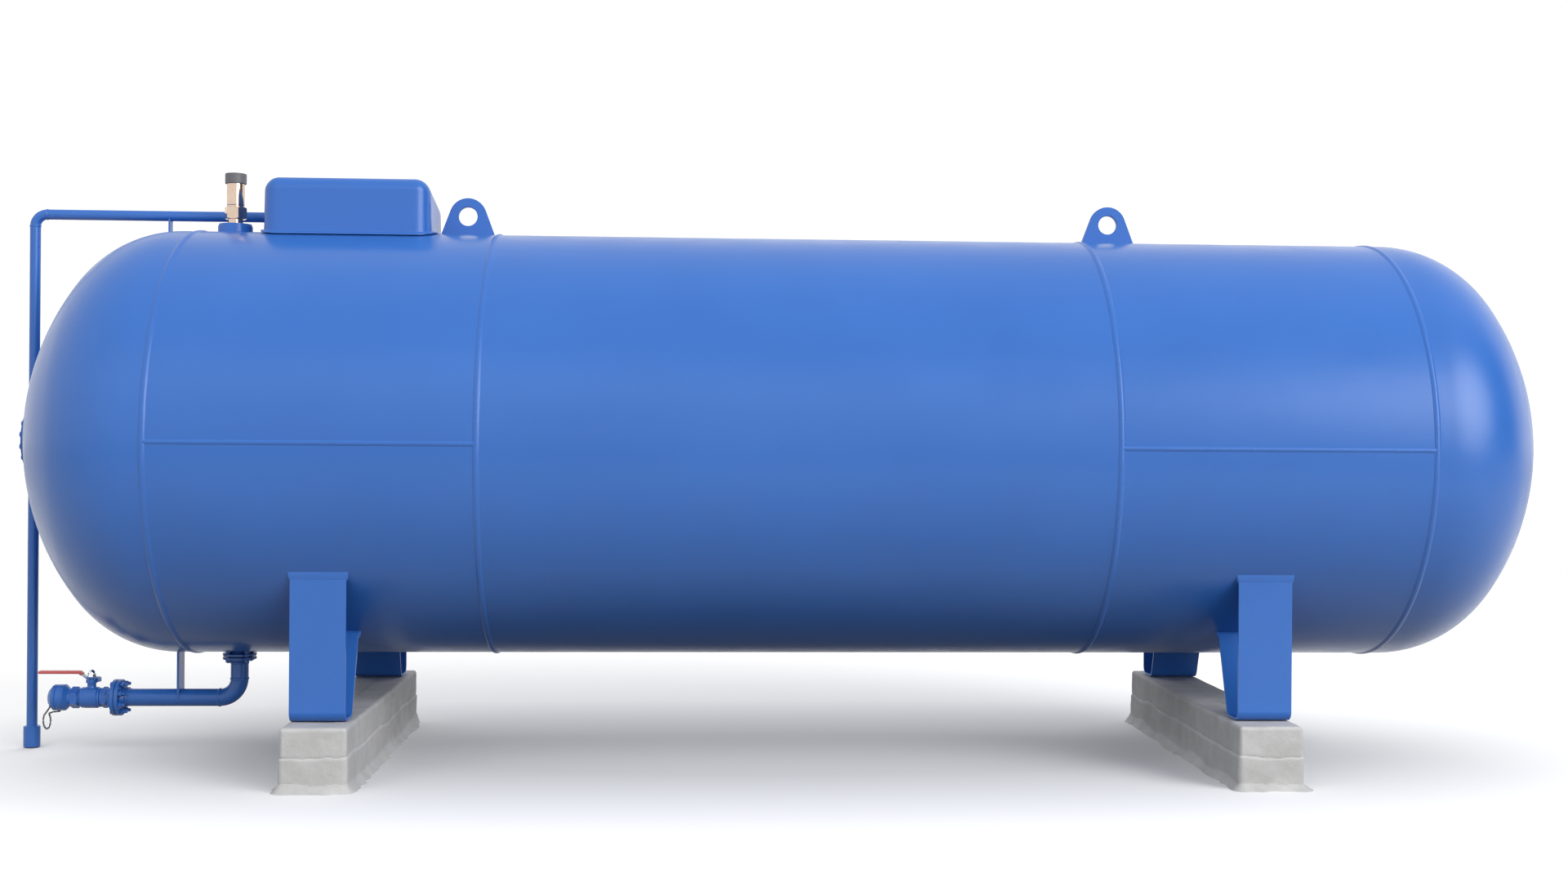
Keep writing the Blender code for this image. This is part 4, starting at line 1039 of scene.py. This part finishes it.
def build_drain_valve():
    along = on_axis("drain_cap", "X")
    stem = on_axis("drain_valve_stem", "Z")
    inner, face = span("drain_valve_flange_end", 0)
    big, back = half("drain_valve_flange_end")[1], face - FLANGE_THICK
    flange = lathe([
        (0.0180, face), (big, face), (big, back), (0.0310, back), (0.0285, face - 0.0150),
        (0.0285, inner + 0.0020), (0.0265, inner), (0.0180, inner)], 0.0011, along, "X", 96)
    hub = hexagon(0.0552, inner + 0.0052, inner + 0.0220, along, "X", bore=0.018, spin=HEX_UPRIGHT)
    piece("valve_flange_end", [flange, hub], node="drain_valve_flange_end")

    left, right = span("drain_valve_body", 0)
    r, gland_top = half("drain_valve_body")[1], high("drain_valve_body")[2]
    body = lathe([
        (0.0243, right), (0.0285, right), (0.0288, right - 0.0060), (r, right - 0.0085),
        (r, left + 0.0125), (r - 0.0008, left + 0.0115), (r - 0.0008, left + 0.0035), (0.0280, left),
        (0.0243, left)], 0.0016, along, "X", 96, steps=4)
    neck = lathe([
        (0.0063, along[2] + 0.024), (0.0150, along[2] + 0.024), (0.0125, along[2] + 0.034),
        (0.0125, gland_top - 0.0125), (0.0165, gland_top - 0.0115), (0.0165, gland_top),
        (0.0063, gland_top)], 0.0009, stem)
    plug = disc(0.0042, -r - 0.0012, -r + 0.004, (stem[0] + 0.010, 0.0, along[2] + 0.002), "Y", 24, 0.0006)
    piece("valve_body", [body, neck, plug], node="drain_valve_body")

    left, right = span("drain_valve_hose_end", 0)
    r = half("drain_valve_hose_end")[1]
    tail = lathe([
        (0.0180, right), (0.0262, right), (0.0262, right - 0.0290), (0.0273, left + 0.0108),
        (r - 0.0006, left + 0.0006), (r - 0.0006, left), (0.0180, left)], 0.0012, along, "X", 96)
    nut = hexagon(0.0563, right - 0.0278, right - 0.0044, along, "X", bore=0.018, spin=HEX_UPRIGHT)
    piece("hose_end", [tail, nut], node="drain_valve_hose_end")

    left, right = span("hose_coupling_ring", 0)
    r = half("hose_coupling_ring")[1]
    groove = left + 0.0174
    collar = lathe([
        (0.0265, right), (r - 0.0010, right), (r, right - 0.0010), (r, groove + 0.0009),
        (r - 0.0010, groove), (r, groove - 0.0009), (r, left + 0.0014), (r - 0.0014, left),
        (0.0265, left)], 0.0005, along, "X", 96)
    piece("coupling_ring", [collar], node="hose_coupling_ring")
    build_cap(along)
    build_lever(stem)
    build_chain()


def chain_eye(place, bore, half_thick):
    return washer(bore, 0.0042, -half_thick, half_thick, place, "Y", 32, 0.0004)


def cap_eye():
    """Middle of the eye on the cap's lower left shoulder."""
    corner = low("drain_cap")
    return np.array([corner[0] + 0.0010, 0.0, corner[2] + 0.0138])


def build_cap(along):
    """The cap, with a small eye on its sloping shoulder for the chain."""
    left, right = span("drain_cap", 0)
    r = half("drain_cap")[1]
    rim = left + 0.0239
    cap = lathe([
        (0.0, left), (0.0220, left), (r - 0.0008, left + 0.0128), (r - 0.0008, left + 0.0138),
        (r, left + 0.0144), (r, rim - 0.0014), (r - 0.0014, rim), (0.0225, rim), (0.0225, right),
        (0.0, right)], 0.0006, along, "X", 96, wrap=False)
    piece("cap", [cap, chain_eye(cap_eye(), 0.0016, 0.0014)], body="drain_cap", node="drain_cap")


def build_lever(stem):
    """Bent plate with its painted stop and hub, dipped grip and domed nut."""
    box_low, box_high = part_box("drain_valve_lever")
    wide = 2 * half("drain_valve_lever")[1]
    tab_x = box_high.x - LEVER_THICK / 2
    hub_z = box_low.z + 0.0115
    arm_z = box_high.z - LEVER_THICK / 2
    bend_x, rise_x = stem[0] - 0.0165, stem[0] - 0.0345
    path = [(tab_x, 0.0, box_low.z), (tab_x, 0.0, hub_z), (bend_x, 0.0, hub_z), (rise_x, 0.0, arm_z),
            (box_low.x, 0.0, arm_z)]
    section = bar_section(wide, LEVER_THICK, 0.0007)
    arm = loft(rings_along(softened(path, 0.004, 6), section, Y_AXIS))
    piece("lever_arm", [arm], "zinc_steel", body="drain_lever", node="drain_valve_lever")
    painted = softened([(tab_x, 0.0, box_low.z - 0.0005), path[1], (bend_x + 0.002, 0.0, hub_z)], 0.004, 6)
    cover = bar_section(wide + 0.0012, LEVER_THICK + 0.0010, 0.0009)
    boss = washer(0.0062, 0.0100, hub_z - 0.0028, hub_z + 0.0028, stem, "Z", 48, 0.0005)
    piece("lever_stop", [loft(rings_along(painted, cover, Y_AXIS)), boss], body="drain_lever")

    start = np.array(path[2]) * 0.45 + np.array(path[3]) * 0.55
    end = (low("drain_lever_grip")[0], 0.0, arm_z)
    line = resampled(softened([start, path[3], end], 0.012, 8), 0.0015, closed=False)
    run, left = (np.linalg.norm(line - line[at], axis=1) for at in (0, -1))
    round_end = np.sqrt(1 - np.clip(1 - left / 0.0055, 0, 1) ** 2)
    round_start = 0.72 + 0.28 * np.sqrt(1 - np.clip(1 - run / 0.003, 0, 1) ** 2)
    scale = np.maximum(0.02, round_end * round_start) * (1 + 0.012 * np.sin(run * 2 * math.pi / 0.008))
    section = bar_section(2 * half("drain_lever_grip")[1], 0.0085, 0.0038, steps=6)
    grip = loft(rings_along(line, section, Y_AXIS, scale=scale))
    piece("lever_grip", [grip], "red_grip", body="drain_lever", node="drain_lever_grip")

    bottom, top = span("drain_lever_nut", 2)
    r = half("drain_lever_nut")[0]
    skirt_top = bottom + 0.0085
    nut = hexagon(2 * r * 0.90, bottom, skirt_top, stem, "Z", chamfers=(False, True))
    dome_r = r * 0.95
    dome = turned([(0.0, skirt_top - 0.001), (dome_r, skirt_top - 0.001)]
                  + [(dome_r * math.cos(a), skirt_top + (top - skirt_top) * math.sin(a))
                     for a in np.radians(np.linspace(6, 90, 12))], stem, "Z", 48)
    piece("lever_nut", [nut, dome], "chrome", body="drain_lever", node="drain_lever_nut")


LINK_LENGTH = 0.0088
LINK_WIDTH = 0.0060
LINK_WIRE = 0.00115
CHAIN_BULGE = 0.0106         # half width of the hanging loop


def chain_link(centre, along, flat):
    """One oval link: along is its long direction, flat lies in its plane square to that."""
    bend = (LINK_WIDTH - 2 * LINK_WIRE) / 2
    straight = (LINK_LENGTH - LINK_WIDTH) / 2
    path = []
    for sign in (1, -1):
        for angle in np.radians(np.linspace(-90, 90, 9)):
            path.append(centre + along * sign * (straight + bend * math.cos(angle))
                        + flat * sign * bend * math.sin(angle))
    side = np.cross(along, flat)
    return loft(rings_along(path, round_section(LINK_WIRE, 10), side, closed=True), wrap=True)


def build_chain():
    """Links that hang in a loop from the coupling ring's eye and come up to the cap's eye."""
    bottom = low("drain_cap_chain")[2]
    ring_corner = low("hose_coupling_ring")
    anchor = np.array([ring_corner[0] + 0.0030, 0.0, ring_corner[2] - 0.0026])
    right = np.array([low("drain_cap")[0] + 0.0080, 0.0, anchor[2] - 0.0020])
    left = cap_eye() - 0.0030 * Z_AXIS
    middle_x = (left[0] + right[0]) / 2 - 0.0130
    centre_z = (right[2] + bottom) / 2 + 0.0010
    fall = (right[2] - bottom) / 2 - 0.0030
    loop = [(middle_x + CHAIN_BULGE * math.cos(a), 0.0, centre_z + fall * math.sin(a))
            for a in np.radians(np.linspace(60, -240, 60))]
    path = softened([anchor, right, *loop, left], 0.004)
    spots = resampled(path, LINK_LENGTH - 2.6 * LINK_WIRE, closed=False)
    links = []
    for number, (spot, way) in enumerate(zip(spots, directions(spots, False))):
        tilt = math.radians(45 if number % 2 else -45) + 0.25 * math.sin(number * 2.4)
        flat = math.cos(tilt) * np.cross(way, Y_AXIS) + math.sin(tilt) * Y_AXIS
        links.append(chain_link(spot, way, unit(flat)))
    # the zinc links take the near-black finish so that the chain looks dark: painted shade
    piece("cap_chain", links, "black_needle", node="drain_cap_chain",
          blend=("vessel", "drain_cap", tuple(anchor), tuple(left)))
    piece("chain_ring", [chain_eye(anchor + 0.0020 * Z_AXIS, 0.0018, 0.0012)])


# ---------------------------------------------------------------- inspection opening

INSPECTION_BOLT_R = 0.0885


def build_inspection():
    along = on_axis("inspection_cover", "X")
    left, right = span("inspection_pad", 0)
    r, bore, inner = half("inspection_pad")[1], 0.060, right + 0.004
    pad = lathe([(r, inner), (r, left), (bore, left), (bore, inner)], 0.0015, along, "X", 128)
    piece("inspection_ring", [pad], node="inspection_pad")
    crown_x = low("head_left")[0] + CROWN_R - math.sqrt(CROWN_R ** 2 - r ** 2)
    circle = ring(r, crown_x, along, "X", 160)
    piece("inspection_weld", [corner_bead(circle, along, "X", -1, 0.013, 0.0035, RIPPLE_PITCH)])
    bolts_left, face = span("inspection_cover", 0)
    outer_face = bolts_left + 0.0061
    dip = outer_face - 0.0012
    shapes = [lathe([(0.0, face), (r, face), (r, outer_face), (r - 0.040, outer_face), (r - 0.042, dip),
                     (0.0, dip)], 0.0012, along, "X", 128, wrap=False)]
    for spot, angle in bolt_places(along, "X", INSPECTION_BOLT_R, 16):
        shapes.append(disc(0.0088, dip, outer_face + 0.001, spot, "X", 24, 0.0003))
        shapes.append(hexagon(0.0155, bolts_left, outer_face - 0.0010, spot, "X", spin=angle,
                              chamfers=(True, False)))
    piece("inspection_lid", shapes, node="inspection_cover")


# ---------------------------------------------------------------- under the hood

def build_outlet_valve():
    place = on_axis("outlet_valve_body", "Z")
    bottom, top = span("outlet_nozzle", 2)
    r = half("outlet_nozzle")[0]
    nozzle = lathe([(0.012, bottom), (r, bottom), (r, top - 0.004), (r - 0.003, top), (0.012, top)],
                   0.0008, place)
    piece("outlet_branch", [nozzle], node="outlet_nozzle")
    bottom, top = span("outlet_valve_body", 2)
    r, port_y = half("outlet_valve_body")[0], high("outlet_valve_body")[1]
    port_place = (place[0], 0.0, high("outlet_pipe")[2] - PIPE_R)
    body = lathe([
        (0.011, bottom), (r - 0.004, bottom), (r - 0.002, bottom + 0.012), (r - 0.006, bottom + 0.020),
        (r, bottom + 0.030), (r, top - 0.008), (r - 0.001, top), (0.017, top), (0.017, bottom + 0.024),
        (0.011, bottom + 0.024)], 0.0018, place, sides=72, steps=4)
    port = washer(0.0115, 0.0175, 0.018, port_y, port_place, "Y", 64, 0.0010)
    port_nut = hexagon(0.0345, port_y - 0.013, port_y - 0.0005, port_place, "Y", bore=0.0115)
    piece("outlet_valve", [body, port, port_nut], "brass", node="outlet_valve_body")
    bonnet = hexagon(0.044, *span("outlet_valve_bonnet", 2), place, bore=0.0053)
    piece("valve_bonnet", [bonnet], "brass", node="outlet_valve_bonnet")
    bottom, top = span("outlet_valve_stem", 2)
    r = half("outlet_valve_stem")[0]
    threads = [(0.0, bottom)]
    for number in range(18):
        z = bottom + 0.006 + number * 0.0012
        threads += [(r - 0.0006, z), (r, z + 0.0004), (r, z + 0.0006), (r - 0.0006, z + 0.0010)]
    threads += [(r, threads[-1][1] + 0.001), (r, top - 0.001), (r - 0.001, top), (0.0, top)]
    piece("valve_stem", [turned(threads, place, sides=40)], "zinc_steel", body="outlet_wheel",
          node="outlet_valve_stem")
    build_wheel(place)


def build_wheel(place):
    """A five-spoke pressed handwheel with a scalloped rim."""
    z = middle("outlet_valve_handwheel")[2]
    r = half("outlet_valve_handwheel")[0] - 0.0040
    sides = 120
    angles = np.arange(sides) * 2 * math.pi / sides
    scallop = 1.0 + 0.010 * np.cos(angles * 10)
    rim = loft([ring((r + 0.0036 * math.cos(a)) * scallop, z + 0.0036 * math.sin(a), place, "Z", sides)
                for a in np.radians(np.arange(0, 360, 30))], wrap=True)
    shapes = [rim, washer(0.0054, 0.0090, z - 0.005, z + 0.005, place, "Z", 40)]
    for spot, _ in bolt_places(place, "Z", 1.0, 5, 0.0):
        way = unit(spot - place)
        path = [place * (1, 1, 0) + way * d + Z_AXIS * (z + dz)
                for d, dz in ((0.0075, 0.0), (0.014, -0.001), (0.024, -0.001), (r, 0.0))]
        section = bar_section(0.0060, 0.0030, 0.0012)
        shapes.append(loft(rings_along(softened(path, 0.006), section, np.cross(Z_AXIS, way))))
    piece("handwheel", shapes, "red_grip", body="outlet_wheel", node="outlet_valve_handwheel")


DIAL_START = 225.0           # degrees of the zero mark, and from it to the last mark
DIAL_SWEEP = 270.0
DIAL_TICKS = 50
TICKS_A_NUMBER = 10


def dial_way(tick):
    """The way from the dial's middle to a tick."""
    angle = math.radians(DIAL_START - DIAL_SWEEP * tick / DIAL_TICKS)
    return np.array([math.cos(angle), 0.0, math.sin(angle)])


def build_dial(place):
    """The dial's face, its ticks and its numbers."""
    face, rear = span("gauge_dial", 1)
    radius = half("gauge_dial")[0]
    piece("dial", [disc(radius, face, rear, place, "Y", 96, 0.0002)], "white_dial", node="gauge_dial")
    ticks = []
    for number in range(DIAL_TICKS + 1):
        inner, width = (0.0228, 0.0004) if number % TICKS_A_NUMBER else (0.0205, 0.0008)
        way = dial_way(number)
        path = [place + Y_AXIS * (face - 0.0001) + way * d for d in (inner, 0.0255)]
        section = bar_section(width, 0.0003, 0.0001, steps=1)
        ticks.append(loft(rings_along(path, section, np.cross(way, Y_AXIS))))
    piece("dial_ticks", ticks, "black_needle")
    for number in range(DIAL_TICKS // TICKS_A_NUMBER + 1):
        spot = place + 0.0165 * dial_way(number * TICKS_A_NUMBER) + Y_AXIS * (face - 0.0002)
        dial_number(str(number * 2), spot)
    piece("gauge_window", [disc(radius, *span("gauge_glass", 1), place, "Y", 96, 0.0004)], "clear_glass",
          node="gauge_glass")


def dial_number(text, spot):
    curve = bpy.data.curves.new("dial_number_" + text, "FONT")
    curve.body = text
    curve.size = 0.0052
    curve.align_x = "CENTER"
    curve.align_y = "CENTER"
    curve.extrude = 0.0001
    guide = add_object("guide", curve)
    guide.location = spot
    guide.rotation_euler = (math.pi / 2, 0.0, 0.0)
    bpy.context.view_layer.update()
    evaluated = guide.evaluated_get(bpy.context.evaluated_depsgraph_get())
    mesh = bpy.data.meshes.new_from_object(evaluated)
    mesh.transform(guide.matrix_world)
    bpy.data.objects.remove(guide, do_unlink=True)
    points = [tuple(vert.co) for vert in mesh.vertices]
    faces = [list(face.vertices) for face in mesh.polygons]
    piece("dial_number_" + text, [(points, faces)], "black_needle")


def build_needle(place):
    """A tapered pointer on its hub, drawn along the CAD needle."""
    outline = [(0.0065, -0.0014), (-0.021, -0.0004), (-0.021, 0.0004), (0.0065, 0.0014)]
    front, back = span("gauge_needle", 1)
    tip = low("gauge_needle") * (1, 0, 1)
    centre = place * (1, 0, 1)
    way = unit(tip - centre)
    across = np.cross(Y_AXIS, way)
    rings = [[centre - way * a + across * b + Y_AXIS * y for a, b in outline]
             for y in (front + 0.0018, front + 0.0026)]
    hub = disc(0.0030, front, back, place, "Y", 32, 0.0006)
    piece("needle", [loft(rings), hub], "black_needle", body="gauge_needle", node="gauge_needle")


def build_gauge():
    place = on_axis("gauge_case", "Y")
    front, back = span("gauge_case", 1)
    r = half("gauge_case")[0]
    case = lathe([(0.0, back), (r - 0.006, back), (r - 0.001, back - 0.005), (r - 0.001, front + 0.006),
                  (r, front + 0.005), (r, front), (r - 0.0030, front), (r - 0.0030, back - 0.003),
                  (0.0, back - 0.003)], 0.0009, place, "Y", 96, wrap=False)
    piece("gauge_housing", [case], "zinc_steel", node="gauge_case")
    build_dial(place)
    build_needle(place)
    place = on_axis("gauge_cock", "Z")
    bottom, top = span("gauge_cock", 2)
    r = half("gauge_cock")[0]
    cock = lathe([(0.003, bottom), (r, bottom), (r, bottom + 0.010), (0.0075, bottom + 0.0120),
                  (0.0065, bottom + 0.016), (0.0065, top), (0.003, top)], 0.0007, place, sides=48)
    nut = hexagon(0.0170, top - 0.012, top - 0.002, place, bore=0.003)
    piece("gauge_stem", [cock, nut], "brass", node="gauge_cock")


# ---------------------------------------------------------------- carried-over CAD nodes

def finish_cad_nodes():
    """Nodes that stay as they are get their finish."""
    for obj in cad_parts.values():
        if obj.hide_render:
            continue
        name = obj.data.materials[0].name.split(".")[0]
        obj.material_slots[0].link = "OBJECT"
        obj.material_slots[0].material = FINISHES[name]


# ---------------------------------------------------------------- stage, light and camera

LENS = 40.36
CAMERA_FROM_TANK = (-0.2964, -5.3463, 0.0125)
CAMERA_ANGLES = (("Z", -3.006), ("X", 90.016), ("Z", 0.408))     # turn, pitch and roll
FLOOR_SEEN = 0.98                    # grey for the camera, away from the tank
FLOOR_MIRRORED = 0.85                # grey in gloss, away from the tank
FLOOR_BOUNCE = 0.15                  # grey for light that it throws back
PAINTED_SHADOW = (0.74, 0.25)            # painted shadow: shares of the first two greys right under the tank
PAINTED_SHADOW_SEEN = (0.35, 1.1)        # metres from the tank's line where the painted shadow ends, for the camera
# where the painted shadow ends in gloss, in metres from the tank's line
PAINTED_SHADOW_MIRRORED = (0.30, 0.70)
TANK_LINE = (0.3, 1.0, 0.0)          # stretches the painted shadow along the tank
FLOOR_FADE = (6.0, 15.0)             # metres from that line where the floor melts into the backdrop
PANEL_PLACE = (46.0, 20.0)
PANEL_REACH = 27.0                   # degrees from its middle to where it has faded out
PANEL_GLOW = 4.7
DARK_SIDE = (0.12, 0.10, 0.12)
OVERHEAD = (0.70, 0.70, 0.70, 1.0)
BACKDROP = (1.1, 1.1, 1.1, 1.0)
LIGHTS = {
    # name: (azimuth from the camera's side towards +X, elevation, distance, width, height, watts)
    "key": (55.0, 22.0, 6.5, 4.0, 2.0, 130.0),
    "wash": (-22.0, 33.0, 6.5, 7.0, 2.0, 120.0),
    "back": (180.0, 55.0, 7.0, 7.0, 4.0, 120.0),
}


def add_camera():
    data = bpy.data.cameras.new("camera")
    data.lens = LENS
    data.sensor_width = 36.0
    data.clip_end = 200.0
    camera = add_object("camera", data)
    placed = Matrix.Translation(Vector(TANK) + Vector(CAMERA_FROM_TANK))
    for axis, angle in CAMERA_ANGLES:
        placed = placed @ Matrix.Rotation(math.radians(angle), 4, axis)
    camera.matrix_world = placed
    bpy.context.scene.camera = camera


def diffuse(tree, colour):
    return add_node(tree, "BsdfDiffuse", {"Color": colour}).outputs[0]


def shader_mix(tree, share, first, second):
    return add_node(tree, "MixShader", {0: share, 1: first, 2: second}).outputs[0]


def painted_floor_shadow(tree, away, level, share, ends):
    """A grey with a painted shadow: darker near the tank's line."""
    return diffuse(tree, value_range(tree, away, level * share, level, *ends))


def add_floor():
    """A pale floor with a painted shadow under the tank, that melts into the backdrop far from it."""
    bm = bmesh.new()
    bmesh.ops.create_grid(bm, x_segments=1, y_segments=1, size=60.0)
    mesh = bpy.data.meshes.new("floor")
    bm.to_mesh(mesh)
    bm.free()
    floor = add_object("floor", mesh)
    material = bpy.data.materials.new("floor")
    material.use_nodes = True
    tree = material.node_tree
    tree.nodes.clear()
    ray = add_node(tree, "LightPath", {}).outputs
    spot = add_node(tree, "TexCoord", {}).outputs["Object"]
    flat = add_node(tree, "VectorMath", {0: spot, 1: TANK_LINE}, operation="MULTIPLY").outputs["Vector"]
    away = add_node(tree, "VectorMath", {0: flat}, operation="LENGTH").outputs["Value"]
    # painted shadow under the tank, in gloss and for the camera
    mirrored = painted_floor_shadow(tree, away, FLOOR_MIRRORED, PAINTED_SHADOW[1], PAINTED_SHADOW_MIRRORED)
    seen = painted_floor_shadow(tree, away, FLOOR_SEEN, PAINTED_SHADOW[0], PAINTED_SHADOW_SEEN)
    seen = shader_mix(tree, value_range(tree, away, 0.0, 1.0, *FLOOR_FADE), seen,
                      add_node(tree, "BsdfTransparent", {}).outputs[0])
    bounced = diffuse(tree, (*grey(FLOOR_BOUNCE), 1.0))
    shown = shader_mix(tree, ray["Is Glossy Ray"], bounced, mirrored)
    shown = shader_mix(tree, ray["Is Camera Ray"], shown, seen)
    add_node(tree, "OutputMaterial", {"Surface": shown})
    mesh.materials.append(material)


def direction(azimuth, elevation):
    """From the tank: azimuth in degrees from the camera's side towards +X, and elevation."""
    a, e = math.radians(azimuth), math.radians(elevation)
    return Vector((math.sin(a) * math.cos(e), -math.cos(a) * math.cos(e), math.sin(e)))


def add_world():
    """White studio with a soft bright panel, and a dark side to the right for contrast in metal."""
    world = bpy.data.worlds.new("studio")
    bpy.context.scene.world = world
    world.use_nodes = True
    tree = world.node_tree
    way = add_node(tree, "TexCoord", {}).outputs["Generated"]
    x, y, z = add_node(tree, "SeparateXYZ", {0: way}).outputs
    front = add_node(tree, "Math", {0: y, 1: -1.0}, operation="MULTIPLY").outputs[0]
    azimuth = add_node(tree, "Math", {0: x, 1: front}, operation="ARCTAN2").outputs[0]
    sides = colour_ramp(tree, value_range(tree, azimuth, 0.0, 1.0, -math.pi, math.pi), [
        (0.0, grey(0.95)), (0.30, grey(1.0)), (0.62, grey(1.0)), (0.66, DARK_SIDE), (0.77, DARK_SIDE),
        (0.81, grey(1.0))])
    around = mixed(tree, value_range(tree, z, 0.0, 1.0, 0.42, 0.78), sides, OVERHEAD)
    near = add_node(tree, "VectorMath", {0: way, 1: direction(*PANEL_PLACE)}, operation="DOT_PRODUCT")
    edge = math.cos(math.radians(PANEL_REACH))
    panel = value_range(tree, near.outputs["Value"], 0.0, PANEL_GLOW, edge, 1.0)
    lit = add_node(tree, "VectorMath", {0: around, 1: panel}, operation="ADD").outputs["Vector"]
    camera_ray = add_node(tree, "LightPath", {}).outputs["Is Camera Ray"]
    background = tree.nodes["Background"]
    tree.links.new(mixed(tree, camera_ray, lit, BACKDROP), background.inputs["Color"])
    background.inputs["Strength"].default_value = 1.0


def add_lights():
    for name, (azimuth, elevation, distance, width, tall, watts) in LIGHTS.items():
        data = bpy.data.lights.new(name, "AREA")
        data.shape = "RECTANGLE"
        data.size = width
        data.size_y = tall
        data.energy = watts
        lamp = add_object(name, data)
        lamp.visible_glossy = False
        way = direction(azimuth, elevation)
        lamp.location = Vector(TANK) + way * distance
        lamp.rotation_euler = way.to_track_quat("Z", "Y").to_euler()


build_courses()
build_heads()
build_seams()
build_legs()
build_sleepers()
build_lugs()
build_relief_valve()
build_relief_spring()
build_hood()
build_hinges()
build_outlet_line()
build_drain_line()
build_drain_valve()
build_inspection()
build_outlet_valve()
build_gauge()
finish_cad_nodes()
add_floor()
add_world()
add_lights()
add_camera()
bpy.context.scene.view_settings.view_transform = "Standard"
